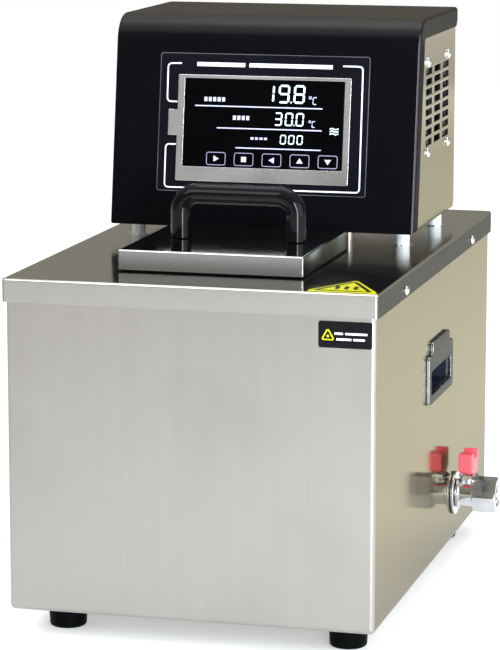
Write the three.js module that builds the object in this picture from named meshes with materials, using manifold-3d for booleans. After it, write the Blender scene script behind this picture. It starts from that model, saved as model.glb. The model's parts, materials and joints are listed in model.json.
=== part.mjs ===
// Heated circulating water bath: a stainless cabinet with a covered bath opening at the front,
// and a raised control head at the rear that carries the pump, heater, fan and touch display.
// Millimetres, +Z up, front towards -Y. Drawn about the cabinet's centre line with the feet on z = 0,
// then moved so that the origin is the bottom centre of the whole object's box.

import * as THREE from "three";
import { mergeVertices } from "three/addons/utils/BufferGeometryUtils.js";
import Module from "manifold-3d";

const wasm = await Module();
wasm.setup();

// ---------- driving dimensions ----------

const GAP = 0.3; // between pieces that touch
const SHEET = 1.5; // folded stainless sheet
const ROUND = 20; // facets of a large round piece
const SMALL_ROUND = 12; // facets of a small round piece

// Cabinet
const PANEL = { width: 290, depth: 450, top: 280, flange: 18 };
const OVERHANG = 2.1;
const FOOT = {
  height: 23,
  topRadius: 15.5,
  baseRadius: 14.2,
  edge: 1.5,
  recessRadius: 4,
  recessDepth: 8,
  x: 112,
  y: 173.6,
};
const SHELL = {
  width: PANEL.width - 2 * OVERHANG,
  depth: PANEL.depth - 2 * OVERHANG,
  bendRadius: 3,
};
const WALL_X = SHELL.width / 2; // outer face of the side walls
const WALL_Y = SHELL.depth / 2; // outer face of the front and rear walls

// Bath: opening, lid and tank
const LID = { x: 2.5, y: -97.4, width: 145, depth: 147.6, height: 15.2, seat: 1.5, sheet: 1.2 };
const GASKET = { inset: 1, width: 5 };
const OPENING = { width: 122, depth: 124, cornerRadius: 8 };
const TANK = {
  front: -195,
  rear: 135,
  halfWidth: 107,
  floor: 88,
  wall: 1.2,
  cornerRadius: 16,
  rim: 8,
};
const FOAM = 13; // tank insulation thickness
const HANDLE = { x: 5.5, y: -100, pitch: 92.5, tube: 8, rise: 34.7, bend: 12 };

// Side grips
const GRIP = {
  y: 7.5,
  bottom: 159.7,
  shoulder: 199,
  top: 208.5,
  halfWidth: 47.5,
  tabHalfWidth: 33,
  windowHalfWidth: 39.5,
  windowBottom: 166.7,
  windowTop: 186.3,
  proud: 2.7,
  cupDepth: 20,
  cupWall: 1.2,
  cupMargin: 2,
};

// Drain valve, on the right wall
const DRAIN = { y: 79.7, z: 62.5, pipeRadius: 8, bore: 5, bodyRadius: 11 };
const VALVE = {
  stemX: 155.5,
  stemRadius: 2.8,
  hexStart: 160,
  end: 180,
  hexRadius: 15.6,
  mouth: 9.4,
  mouthDepth: 14,
  ballRadius: 7.7,
  neckRadius: 7,
};
const BONNET_NUT = { radius: 10, height: 2.8 };
const WASHER = { radius: 18, thickness: 2.2 };
const DRAIN_ELBOW = { x: 70, bend: 14 };
const LEVER = { front: 18, rear: 11.5, thickness: 9, bottom: 79.6, top: 99.5 };

// Control head
const HEAD = {
  width: 252,
  bottom: PANEL.top + 12.7,
  top: 461,
  front: -14.5,
  rear: 160,
  tilt: THREE.MathUtils.degToRad(8.5),
  bend: 23,
  rearBend: 4,
  topLip: 16,
  frontLip: 16,
};
const STANDOFF = { radius: 5.5, frontX: 111, frontY: 16.5, rearX: 114, rearY: 130 };

// Display, measured along and up the sloped front of the head
const OVERLAY = { left: -87.7, right: 85.9, bottom: 28.1, top: 139.9, thickness: 0.5 };
const BEZEL = { left: -72, right: 71.2, bottom: 36.8, top: 122.5, thickness: 1.3 };
const BEZEL_TAB = { left: -79.5, bottom: 73.3, top: 94.2 };
const GLASS = { left: -66.3, right: 65.9, bottom: 48.6, top: 119.6, thickness: 1.6 };

// Fan and vent, on the right side of the head
const VENT = { y: 84.5, z: 388, columns: 3, rows: 8, pitchY: 34, pitchZ: 8.2, slotY: 25, slotZ: 5.2 };
const FAN = {
  y: 85.3,
  z: 388,
  frameY: 92,
  frameZ: 84,
  depth: 25,
  bore: 39.5,
  hubRadius: 17,
  bladeTip: 37,
  blades: 7,
  screwY: 81.5,
  screwZ: 73.2,
};
const SCREW_HOLE_RADIUS = 2.3;

// Pump, heater, probe and pipes
const PUMP = {
  x: 0,
  y: 70,
  columnRadius: 14,
  housingRadius: 28,
  housingBottom: 104,
  housingTop: 130,
  wall: 3,
  impellerRadius: 20,
  vanes: 6,
};
const MOTOR = { radius: 31, height: 72 };
const SHAFT_RADIUS = 4;
const HEATER = { radius: 4, x: 62, frontY: 35, rearY: 112, level: 112, bend: 14, terminal: 12 };
const PROBE = { x: -30, y: 20, radius: 3, tip: 165 };
const PIPE = { radius: 6, outletX: -42, returnX: 42, returnY: 108, level: 341, returnEnd: 215, bend: 9 };
const REAR_FITTING = { hexRadius: 10.5, barbRadius: 6.5, length: 31, bore: 3, barbs: 4, barbPitch: 5.5 };

// Rocker switch and mains socket share one snap-in module
const INLET = { x: 88, z: 335, width: 54, height: 31, flange: 2.5, bodyInset: 3.5, bodyDepth: 24 };
const ROCKER = {
  x: 15,
  halfWidth: 6.2,
  halfHeight: 9,
  pivotDepth: 3,
  tilt: THREE.MathUtils.degToRad(8),
};

// Labels
const FRONT_LABEL = { left: 99.5, right: 140, bottom: 239, top: 258.8, thickness: 0.4 };
const HOT_LABEL = { x: 116.4, base: -222.3, apex: -170.6, halfBase: 27.2, thickness: 0.4 };

// ---------- materials ----------

function finish(color, roughness, metalness) {
  return new THREE.MeshStandardMaterial({ color, roughness, metalness });
}

const brushed = finish(0xb9b4ac, 0.38, 1);
const polished = finish(0xa8a599, 0.16, 1);
const chrome = finish(0xdedfe2, 0.1, 1);
const blackPaint = finish(0x17181c, 0.55, 0);
const blackGloss = finish(0x08090b, 0.12, 0);
const rubber = finish(0x0d0d0e, 0.8, 0);
const whitePlastic = finish(0xe9eff2, 0.4, 0);
const darkPlastic = finish(0x222326, 0.5, 0);
const redPlastic = finish(0xe8475a, 0.4, 0);
const foam = finish(0xc9c2a8, 0.95, 0);
const copper = finish(0xb87a55, 0.35, 1);
const silver = finish(0xa3a1a3, 0.3, 1);
const screen = finish(0x05060a, 0.08, 0);
const circuit = finish(0x1c5a38, 0.5, 0);
const yellowFilm = finish(0xf1dc1e, 0.45, 0);
const blackFilm = finish(0x101010, 0.45, 0);

// ---------- geometry helpers ----------

function toSolid(geometry) {
  const bare = geometry.clone();
  bare.deleteAttribute("normal");
  bare.deleteAttribute("uv");
  const merged = mergeVertices(bare, 1e-4);
  return new wasm.Manifold(
    new wasm.Mesh({
      numProp: 3,
      vertProperties: new Float32Array(merged.attributes.position.array),
      triVerts: new Uint32Array(merged.index.array),
    }),
  );
}

function toGeometry(solid) {
  const mesh = solid.getMesh();
  const geometry = new THREE.BufferGeometry();
  geometry.setAttribute("position", new THREE.BufferAttribute(new Float32Array(mesh.vertProperties), 3));
  geometry.setIndex(new THREE.BufferAttribute(new Uint32Array(mesh.triVerts), 1));
  geometry.computeVertexNormals();
  return geometry;
}

function cut(geometry, ...tools) {
  let solid = toSolid(geometry);
  for (const tool of tools) {
    solid = solid.subtract(toSolid(tool));
  }
  return toGeometry(solid);
}

function join(...geometries) {
  let solid = toSolid(geometries[0]);
  for (const other of geometries.slice(1)) {
    solid = solid.add(toSolid(other));
  }
  return toGeometry(solid);
}

// A box between two values on each axis.
function block([x0, x1], [y0, y1], [z0, z1]) {
  const box = new THREE.BoxGeometry(x1 - x0, y1 - y0, z1 - z0);
  return box.translate((x0 + x1) / 2, (y0 + y1) / 2, (z0 + z1) / 2);
}

// A solid of revolution about Z, from [radius, z] points that run anticlockwise.
function turned(profile, facets) {
  const points = profile.map(([radius, z]) => new THREE.Vector2(radius, z));
  return new THREE.LatheGeometry(points, facets).rotateX(Math.PI / 2);
}

function rod(radius, z0, z1, facets = SMALL_ROUND) {
  return turned([[0, z0], [radius, z0], [radius, z1], [0, z1]], facets);
}

function ring(outer, inner, z0, z1, facets = SMALL_ROUND) {
  return turned([[inner, z0], [outer, z0], [outer, z1], [inner, z1], [inner, z0]], facets);
}

// Turns a piece drawn along +Z so that it runs along +X, or along +Y.
function alongX(geometry) {
  const basis = new THREE.Matrix4().makeBasis(
    new THREE.Vector3(0, 1, 0),
    new THREE.Vector3(0, 0, 1),
    new THREE.Vector3(1, 0, 0),
  );
  return geometry.applyMatrix4(basis);
}

function alongY(geometry) {
  return geometry.rotateX(-Math.PI / 2);
}

function extruded(shape, depth) {
  return new THREE.ExtrudeGeometry(shape, { depth, bevelEnabled: false, curveSegments: 4 });
}

function outline(points) {
  return new THREE.Shape(points.map(([x, y]) => new THREE.Vector2(x, y)));
}

function roundedRect(x0, x1, y0, y1, radius) {
  const shape = new THREE.Shape();
  shape.absarc(x1 - radius, y0 + radius, radius, -Math.PI / 2, 0);
  shape.absarc(x1 - radius, y1 - radius, radius, 0, Math.PI / 2);
  shape.absarc(x0 + radius, y1 - radius, radius, Math.PI / 2, Math.PI);
  shape.absarc(x0 + radius, y0 + radius, radius, Math.PI, 1.5 * Math.PI);
  return shape;
}

// A tube of circular section through corner points whose corners are rounded.
function bentTube(corners, bend, radius, sides, steps) {
  const points = corners.map((corner) => new THREE.Vector3(...corner));
  const path = new THREE.CurvePath();
  let from = points[0];
  for (let i = 1; i < points.length - 1; i += 1) {
    const corner = points[i];
    const before = points[i - 1].clone().sub(corner).setLength(bend).add(corner);
    const after = points[i + 1].clone().sub(corner).setLength(bend).add(corner);
    path.add(new THREE.LineCurve3(from, before));
    path.add(new THREE.QuadraticBezierCurve3(before, corner, after));
    from = after;
  }
  path.add(new THREE.LineCurve3(from, points[points.length - 1]));
  const section = new THREE.Shape();
  section.absarc(0, 0, radius, 0, 2 * Math.PI);
  const facets = section.getSpacedPoints(sides).slice(0, sides);
  const options = { extrudePath: path, steps, bevelEnabled: false };
  return new THREE.ExtrudeGeometry(new THREE.Shape(facets), options);
}

// ---------- scene graph ----------

const bath = new THREE.Group();
const frontFace = new THREE.Group(); // local X across, Y up the slope, Z out of the head's front
frontFace.position.set(0, HEAD.front, HEAD.bottom);
frontFace.rotation.x = Math.PI / 2 - HEAD.tilt;
bath.add(frontFace);

function place(name, geometry, material, position = [0, 0, 0], group = bath) {
  const mesh = new THREE.Mesh(geometry, material);
  mesh.name = name;
  mesh.position.set(...position);
  group.add(mesh);
  return mesh;
}

// ---------- cabinet ----------

const shellTop = PANEL.top - SHEET - GAP;

function gripWindow(side) {
  const x0 = side > 0 ? WALL_X - 4 : -WALL_X - 4;
  return block(
    [x0, x0 + 8],
    [GRIP.y - GRIP.windowHalfWidth, GRIP.y + GRIP.windowHalfWidth],
    [GRIP.windowBottom, GRIP.windowTop],
  );
}

function cabinetShell() {
  const wall = roundedRect(-WALL_X, WALL_X, -WALL_Y, WALL_Y, SHELL.bendRadius);
  wall.holes.push(
    roundedRect(-WALL_X + SHEET, WALL_X - SHEET, -WALL_Y + SHEET, WALL_Y - SHEET, SHELL.bendRadius - SHEET),
  );
  const tube = extruded(wall, shellTop - FOOT.height).translate(0, 0, FOOT.height);
  const drainHole = alongX(rod(DRAIN.pipeRadius + 1, -5, 5)).translate(WALL_X, DRAIN.y, DRAIN.z);
  return cut(tube, gripWindow(1), gripWindow(-1), drainHole);
}

function basePlate() {
  const x = WALL_X - SHEET - GAP;
  const y = WALL_Y - SHEET - GAP;
  return extruded(roundedRect(-x, x, -y, y, SHELL.bendRadius), SHEET).translate(0, 0, FOOT.height);
}

// Holes through the top panel and the head's base plate for what hangs down into the tank.
function serviceHoles(z0, z1) {
  const holes = [rod(PUMP.columnRadius + 1, z0, z1, ROUND).translate(PUMP.x, PUMP.y, 0)];
  for (const side of [-1, 1]) {
    holes.push(rod(HEATER.radius + 1, z0, z1).translate(side * HEATER.x, HEATER.frontY, 0));
  }
  holes.push(rod(PROBE.radius + 1, z0, z1).translate(PROBE.x, PROBE.y, 0));
  holes.push(rod(PIPE.radius + 1, z0, z1).translate(PIPE.outletX, PUMP.y, 0));
  holes.push(rod(PIPE.radius + 1, z0, z1).translate(PIPE.returnX, PIPE.returnY, 0));
  return holes;
}

function topPanel() {
  const x = PANEL.width / 2;
  const y = PANEL.depth / 2;
  const bottom = PANEL.top - PANEL.flange;
  const slab = extruded(roundedRect(-x, x, -y, y, 3), PANEL.flange).translate(0, 0, bottom);
  const hollow = block([-x + SHEET, x - SHEET], [-y + SHEET, y - SHEET], [bottom - 1, PANEL.top - SHEET]);
  const opening = roundedRect(
    LID.x - OPENING.width / 2,
    LID.x + OPENING.width / 2,
    LID.y - OPENING.depth / 2,
    LID.y + OPENING.depth / 2,
    OPENING.cornerRadius,
  );
  const bathOpening = extruded(opening, 10).translate(0, 0, PANEL.top - 5);
  return cut(slab, hollow, bathOpening, ...serviceHoles(PANEL.top - 5, PANEL.top + 5));
}

function foot() {
  const top = FOOT.height - GAP;
  return turned(
    [
      [FOOT.recessRadius, 0],
      [FOOT.baseRadius - FOOT.edge, 0],
      [FOOT.baseRadius, FOOT.edge],
      [FOOT.topRadius, top],
      [0, top],
      [0, FOOT.recessDepth],
      [FOOT.recessRadius, FOOT.recessDepth],
      [FOOT.recessRadius, 0],
    ],
    ROUND,
  );
}

place("cabinet_shell", cabinetShell(), brushed);
place("base_plate", basePlate(), brushed);
place("top_panel", topPanel(), polished);

for (const [end, sy] of [["front", -1], ["rear", 1]]) {
  for (const [side, sx] of [["left", -1], ["right", 1]]) {
    place(`foot_${end}_${side}`, foot(), rubber, [sx * FOOT.x, sy * FOOT.y, 0]);
  }
}

// Pan-head screws, drawn along +Z with the head's underside at z = 0.
function panHeadScrew(headRadius, headHeight, shankRadius, shankLength) {
  return turned(
    [
      [0, -shankLength],
      [shankRadius, -shankLength],
      [shankRadius, 0],
      [headRadius, 0],
      [headRadius, headHeight * 0.45],
      [headRadius * 0.7, headHeight],
      [0, headHeight],
    ],
    SMALL_ROUND,
  );
}

// ---------- side grips ----------

function gripPlate() {
  const left = GRIP.y - GRIP.halfWidth;
  const right = GRIP.y + GRIP.halfWidth;
  const face = roundedRect(left, right, GRIP.bottom, GRIP.shoulder, 4);
  const tabLeft = GRIP.y - GRIP.tabHalfWidth;
  const tabRight = GRIP.y + GRIP.tabHalfWidth;
  const tab = roundedRect(tabLeft, tabRight, GRIP.shoulder - 12, GRIP.top, 5);
  const thickness = GRIP.proud - GAP;
  const window = block(
    [GRIP.y - GRIP.windowHalfWidth, GRIP.y + GRIP.windowHalfWidth],
    [GRIP.windowBottom, GRIP.windowTop],
    [-1, thickness + 1],
  );
  return cut(join(extruded(face, thickness), extruded(tab, thickness)), window);
}

function gripCup() {
  const y0 = GRIP.y - GRIP.windowHalfWidth - GRIP.cupMargin;
  const y1 = GRIP.y + GRIP.windowHalfWidth + GRIP.cupMargin;
  const z0 = GRIP.windowBottom - GRIP.cupMargin;
  const z1 = GRIP.windowTop + GRIP.cupMargin;
  const wall = GRIP.cupWall;
  const outer = block([y0, y1], [z0, z1], [-GRIP.cupDepth, 0]);
  const inner = block([y0 + wall, y1 - wall], [z0 + wall, z1 - wall], [-GRIP.cupDepth + wall, 1]);
  return cut(outer, inner);
}

for (const [side, sx] of [["left", -1], ["right", 1]]) {
  const plate = alongX(gripPlate());
  const cup = alongX(gripCup());
  if (sx < 0) {
    plate.rotateZ(Math.PI).translate(0, 2 * GRIP.y, 0);
    cup.rotateZ(Math.PI).translate(0, 2 * GRIP.y, 0);
  }
  place(`grip_plate_${side}`, plate, silver, [sx * (WALL_X + GAP), 0, 0]);
  place(`grip_cup_${side}`, cup, darkPlastic, [sx * (WALL_X - SHEET - GAP), 0, 0]);
}

// ---------- tank ----------

const tankTop = PANEL.top - SHEET - GAP;

function tankOutline(grow, radius) {
  return roundedRect(
    -TANK.halfWidth - grow,
    TANK.halfWidth + grow,
    TANK.front - grow,
    TANK.rear + grow,
    radius,
  );
}

function innerTank() {
  const depth = tankTop - TANK.floor;
  const body = extruded(tankOutline(0, TANK.cornerRadius), depth).translate(0, 0, TANK.floor);
  const rim = extruded(tankOutline(TANK.rim, TANK.cornerRadius), SHEET).translate(0, 0, tankTop - SHEET);
  const hollow = extruded(tankOutline(-TANK.wall, TANK.cornerRadius - TANK.wall), depth);
  hollow.translate(0, 0, TANK.floor + TANK.wall);
  const drainHole = rod(DRAIN.pipeRadius - 2, TANK.floor - 5, TANK.floor + 5);
  drainHole.translate(DRAIN_ELBOW.x, DRAIN.y, 0);
  return cut(join(body, rim), hollow, drainHole);
}

function tankInsulation() {
  const bottom = TANK.floor - FOAM - GAP;
  const top = tankTop - SHEET - GAP;
  const body = extruded(tankOutline(FOAM, TANK.cornerRadius), top - bottom).translate(0, 0, bottom);
  const hollow = extruded(tankOutline(GAP, TANK.cornerRadius), top).translate(0, 0, TANK.floor - GAP);
  const drainHole = rod(DRAIN.pipeRadius + 1, bottom - 5, TANK.floor + 5);
  drainHole.translate(DRAIN_ELBOW.x, DRAIN.y, 0);
  return cut(body, hollow, drainHole);
}

place("inner_tank", innerTank(), polished);
place("tank_insulation", tankInsulation(), foam);

// ---------- lid ----------

const lidBottom = PANEL.top + LID.seat;
const lidTop = lidBottom + LID.height;

function tankLid() {
  const x0 = LID.x - LID.width / 2;
  const x1 = LID.x + LID.width / 2;
  const y0 = LID.y - LID.depth / 2;
  const y1 = LID.y + LID.depth / 2;
  const tray = block([x0, x1], [y0, y1], [lidBottom, lidTop]);
  const hollow = block(
    [x0 + LID.sheet, x1 - LID.sheet],
    [y0 + LID.sheet, y1 - LID.sheet],
    [lidBottom - 1, lidTop - LID.sheet],
  );
  return cut(tray, hollow);
}

function lidGasket() {
  const x = LID.width / 2 - GASKET.inset;
  const y = LID.depth / 2 - GASKET.inset;
  const innerX = x - GASKET.width;
  const innerY = y - GASKET.width;
  const seal = roundedRect(LID.x - x, LID.x + x, LID.y - y, LID.y + y, 2);
  seal.holes.push(roundedRect(LID.x - innerX, LID.x + innerX, LID.y - innerY, LID.y + innerY, 2));
  return extruded(seal, LID.seat - 2 * GAP).translate(0, 0, PANEL.top + GAP);
}

function lidHandle() {
  const foot0 = [-HANDLE.pitch / 2, 0, 0];
  const foot1 = [HANDLE.pitch / 2, 0, 0];
  const top0 = [-HANDLE.pitch / 2, 0, HANDLE.rise];
  const top1 = [HANDLE.pitch / 2, 0, HANDLE.rise];
  return bentTube([foot0, top0, top1, foot1], HANDLE.bend, HANDLE.tube, 12, 28);
}

place("tank_lid", tankLid(), polished);
place("lid_gasket", lidGasket(), rubber);
place("lid_handle", lidHandle(), blackGloss, [HANDLE.x, HANDLE.y, lidTop + GAP]);

// ---------- drain ----------

function drainPipe() {
  const start = [DRAIN_ELBOW.x, DRAIN.y, TANK.floor - GAP];
  const elbow = [DRAIN_ELBOW.x, DRAIN.y, DRAIN.z];
  const end = [WALL_X - 2, DRAIN.y, DRAIN.z];
  const outer = bentTube([start, elbow, end], DRAIN_ELBOW.bend, DRAIN.pipeRadius, 10, 12);
  const longStart = [DRAIN_ELBOW.x, DRAIN.y, TANK.floor + 5];
  const longEnd = [WALL_X + 5, DRAIN.y, DRAIN.z];
  const inner = bentTube([longStart, elbow, longEnd], DRAIN_ELBOW.bend, DRAIN.bore, 8, 12);
  return cut(outer, inner);
}

function valveBody() {
  const start = WALL_X + 3;
  const barrel = alongX(rod(DRAIN.bodyRadius, start, VALVE.hexStart + 1, ROUND));
  const hex = alongX(rod(VALVE.hexRadius, VALVE.hexStart, VALVE.end, 6).rotateZ(Math.PI / 6));
  const neck = rod(VALVE.neckRadius, 0, LEVER.bottom - DRAIN.z - 5).translate(VALVE.stemX, 0, 0);
  const bore = alongX(rod(DRAIN.bore, start - 1, VALVE.end + 1));
  const mouth = alongX(rod(VALVE.mouth, VALVE.end - VALVE.mouthDepth, VALVE.end + 1, ROUND));
  const seat = new THREE.SphereGeometry(VALVE.ballRadius + 0.5, 12, 8).rotateX(Math.PI / 2);
  seat.translate(VALVE.stemX, 0, 0);
  const stemHole = rod(VALVE.stemRadius + 0.5, 0, 30).translate(VALVE.stemX, 0, 0);
  return cut(join(barrel, hex, neck), bore, mouth, seat, stemHole);
}

function valveBall() {
  const ball = new THREE.SphereGeometry(VALVE.ballRadius, 12, 8).rotateX(Math.PI / 2);
  const bore = rod(DRAIN.bore - 0.5, -10, 10).rotateX(Math.PI / 2);
  return cut(ball, bore);
}

function drainLever() {
  const wings = [
    [-LEVER.front, LEVER.top - 0.5],
    [-LEVER.front, LEVER.bottom + 5],
    [-6, LEVER.bottom],
    [6, LEVER.bottom],
    [LEVER.rear, LEVER.bottom + 4],
    [LEVER.rear, LEVER.top - 0.5],
    [7, LEVER.top],
    [3, LEVER.top - 4],
    [-3, LEVER.top - 4],
    [-9, LEVER.top],
  ];
  const blade = alongX(extruded(outline(wings), LEVER.thickness)).translate(-LEVER.thickness / 2, 0, 0);
  const boss = rod(5.6, LEVER.bottom, LEVER.bottom + 6);
  return join(blade, boss);
}

place("drain_pipe", drainPipe(), polished);
function bonnetNut() {
  const hole = rod(VALVE.neckRadius + 0.4, -1, BONNET_NUT.height + 1);
  return cut(rod(BONNET_NUT.radius, 0, BONNET_NUT.height, 6), hole);
}

const washer = alongX(ring(WASHER.radius, DRAIN.bore + 0.5, 0, WASHER.thickness, ROUND));
const stem = rod(VALVE.stemRadius, DRAIN.z + VALVE.ballRadius + 0.4, LEVER.bottom - GAP);
const hexTop = DRAIN.z + VALVE.hexRadius * Math.cos(Math.PI / 6);
place("drain_washer", washer, chrome, [WALL_X + GAP, DRAIN.y, DRAIN.z]);
place("valve_body", valveBody(), chrome, [0, DRAIN.y, DRAIN.z]);
place("valve_ball", valveBall(), chrome, [VALVE.stemX, DRAIN.y, DRAIN.z]);
place("valve_stem", stem, chrome, [VALVE.stemX, DRAIN.y, 0]);
place("valve_bonnet_nut", bonnetNut(), chrome, [VALVE.stemX, DRAIN.y, hexTop + GAP]);
place("drain_lever", drainLever(), redPlastic, [VALVE.stemX, DRAIN.y, 0]);

// ---------- head casing ----------

// The head's side profile in the YZ plane, drawn in by an inset: front slope, top bend, flat top, rear.
function headProfile(inset, bottom, rearBottom) {
  const slope = Math.tan(HEAD.tilt);
  const frontAt = (z) => HEAD.front + inset / Math.cos(HEAD.tilt) + (z - HEAD.bottom) * slope;
  const top = HEAD.top - inset;
  const rear = HEAD.rear - inset;
  const bend = HEAD.bend - inset;
  const bendY = frontAt(top) + bend * Math.tan((Math.PI / 2 - HEAD.tilt) / 2);
  const rearBend = Math.max(HEAD.rearBend - inset, 0.5);
  const points = [[frontAt(bottom), bottom]];
  const bendSteps = 8;
  for (let i = 0; i <= bendSteps; i += 1) {
    const angle = Math.PI - HEAD.tilt - ((Math.PI / 2 - HEAD.tilt) * i) / bendSteps;
    points.push([bendY + bend * Math.cos(angle), top - bend + bend * Math.sin(angle)]);
  }
  for (const angle of [Math.PI / 2, Math.PI / 4, 0]) {
    points.push([rear - rearBend + rearBend * Math.cos(angle), top - rearBend + rearBend * Math.sin(angle)]);
  }
  points.push([rear, rearBottom]);
  return points;
}

function headCover() {
  const rearBottom = HEAD.top - HEAD.topLip;
  const outer = headProfile(0, HEAD.bottom, rearBottom);
  const inner = headProfile(SHEET, HEAD.bottom, rearBottom).reverse();
  const skin = alongX(extruded(outline([...outer, ...inner]), HEAD.width)).translate(-HEAD.width / 2, 0, 0);
  const lipTop = HEAD.top - HEAD.topLip;
  const slope = Math.tan(HEAD.tilt);
  const lipFrontAt = (z) => HEAD.front + HEAD.frontLip + (z - HEAD.bottom) * slope;
  const lipOutline = [
    ...headProfile(0.5, HEAD.bottom, HEAD.top - 9),
    [HEAD.rear - 7, lipTop],
    [lipFrontAt(lipTop) + 3, lipTop],
    [lipFrontAt(lipTop - 4), lipTop - 4],
    [lipFrontAt(HEAD.bottom), HEAD.bottom],
  ];
  const pieces = [skin];
  for (const x of [-HEAD.width / 2, HEAD.width / 2 - SHEET]) {
    pieces.push(alongX(extruded(outline(lipOutline), SHEET)).translate(x, 0, 0));
  }
  const displayHole = block([GLASS.left + 6, GLASS.right - 6], [GLASS.bottom + 6, GLASS.top - 6], [-10, 10]);
  displayHole.rotateX(frontFace.rotation.x).translate(0, HEAD.front, HEAD.bottom);
  return cut(join(...pieces), displayHole);
}

function slotGrid(x0, x1) {
  const slots = [];
  for (let column = 0; column < VENT.columns; column += 1) {
    for (let row = 0; row < VENT.rows; row += 1) {
      const y = VENT.y + (column - (VENT.columns - 1) / 2) * VENT.pitchY;
      const z = VENT.z + (row - (VENT.rows - 1) / 2) * VENT.pitchZ;
      slots.push(
        block([x0, x1], [y - VENT.slotY / 2, y + VENT.slotY / 2], [z - VENT.slotZ / 2, z + VENT.slotZ / 2]),
      );
    }
  }
  return slots;
}

const sidePanelOuter = HEAD.width / 2 - SHEET - GAP;
const sidePanelInner = sidePanelOuter - SHEET;

// A side panel whose sheet starts at x0; only the right one carries the fan's screws.
function headSidePanel(x0, withScrewHoles) {
  const profile = headProfile(SHEET + GAP, HEAD.bottom, HEAD.bottom + 5);
  profile.push([HEAD.rear - SHEET - GAP - 5, HEAD.bottom]);
  const panel = alongX(extruded(outline(profile), SHEET)).translate(x0, 0, 0);
  const holes = slotGrid(x0 - 1, x0 + SHEET + 1);
  if (withScrewHoles) {
    for (const [y, z] of fanScrewPlaces()) {
      holes.push(alongX(rod(SCREW_HOLE_RADIUS, x0 - 1, x0 + SHEET + 1)).translate(0, y, z));
    }
  }
  return cut(panel, ...holes);
}

function fanScrewPlaces() {
  const places = [];
  for (const sz of [-1, 1]) {
    for (const sy of [-1, 1]) {
      places.push([FAN.y + (sy * FAN.screwY) / 2, FAN.z + (sz * FAN.screwZ) / 2]);
    }
  }
  return places;
}

const backX = sidePanelInner - GAP;
const backOuter = HEAD.rear - SHEET - GAP;
const backInner = backOuter - SHEET;

function headBackPanel() {
  const panel = block([-backX, backX], [backInner, backOuter], [HEAD.bottom + SHEET + GAP, HEAD.top - 6]);
  const holes = [];
  for (const x of [PIPE.outletX, PIPE.returnX]) {
    holes.push(alongY(rod(PIPE.radius + 1, backInner - 1, backOuter + 1)).translate(x, 0, PIPE.level));
  }
  const halfX = INLET.width / 2 - 3;
  const halfZ = INLET.height / 2 - 3;
  holes.push(
    block(
      [INLET.x - halfX, INLET.x + halfX],
      [backInner - 1, backOuter + 1],
      [INLET.z - halfZ, INLET.z + halfZ],
    ),
  );
  return cut(panel, ...holes);
}

function headBasePlate() {
  const plate = block([-backX, backX], [HEAD.front + 3, backOuter], [HEAD.bottom, HEAD.bottom + SHEET]);
  return cut(plate, ...serviceHoles(HEAD.bottom - 1, HEAD.bottom + SHEET + 1));
}

place("head_cover", headCover(), blackPaint);
place("head_base_plate", headBasePlate(), brushed);
place("head_side_panel_right", headSidePanel(sidePanelInner, true), brushed);
place("head_side_panel_left", headSidePanel(-sidePanelOuter, false), brushed);
place("head_back_panel", headBackPanel(), brushed);

const standoffRows = [
  ["front", STANDOFF.frontX, STANDOFF.frontY],
  ["rear", STANDOFF.rearX, STANDOFF.rearY],
];
for (const [end, x, y] of standoffRows) {
  for (const [side, sx] of [["left", -1], ["right", 1]]) {
    const post = rod(STANDOFF.radius, PANEL.top + GAP, HEAD.bottom - GAP, 16);
    place(`standoff_${end}_${side}`, post, whitePlastic, [sx * x, y, 0]);
  }
}

// ---------- display ----------

function bezelOutline(grow) {
  return outline([
    [BEZEL.left - grow, BEZEL.bottom - grow],
    [BEZEL.right + grow, BEZEL.bottom - grow],
    [BEZEL.right + grow, BEZEL.top + grow],
    [BEZEL.left - grow, BEZEL.top + grow],
    [BEZEL.left - grow, BEZEL_TAB.top + grow],
    [BEZEL_TAB.left - grow, BEZEL_TAB.top + grow],
    [BEZEL_TAB.left - grow, BEZEL_TAB.bottom - grow],
    [BEZEL.left - grow, BEZEL_TAB.bottom - grow],
  ]);
}

function displayOverlay() {
  const film = roundedRect(OVERLAY.left, OVERLAY.right, OVERLAY.bottom, OVERLAY.top, 2);
  const window = extruded(bezelOutline(GAP), 10).translate(0, 0, -5);
  return cut(extruded(film, OVERLAY.thickness), window);
}

function displayBezel() {
  const window = block(
    [GLASS.left - GAP, GLASS.right + GAP],
    [GLASS.bottom - GAP, GLASS.top + GAP],
    [-5, 5],
  );
  return cut(extruded(bezelOutline(0), BEZEL.thickness), window);
}

function displayGlass() {
  return extruded(roundedRect(GLASS.left, GLASS.right, GLASS.bottom, GLASS.top, 1), GLASS.thickness);
}

function controlBoard() {
  const board = block([-60, 60], [46, 122], [-16, -14.4]);
  const parts = [
    block([-40, -14], [60, 86], [-19, -15]),
    block([6, 30], [92, 108], [-24, -15]),
    block([-52, -30], [96, 114], [-28, -15]),
    block([20, 52], [52, 62], [-26, -15]),
  ];
  return join(board, ...parts);
}

place("display_overlay", displayOverlay(), blackGloss, [0, 0, GAP], frontFace);
place("display_bezel", displayBezel(), silver, [0, 0, GAP], frontFace);
place("display_glass", displayGlass(), screen, [0, 0, GAP], frontFace);
place("control_board", controlBoard(), circuit, [0, 0, 0], frontFace);

// ---------- fan ----------

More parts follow.
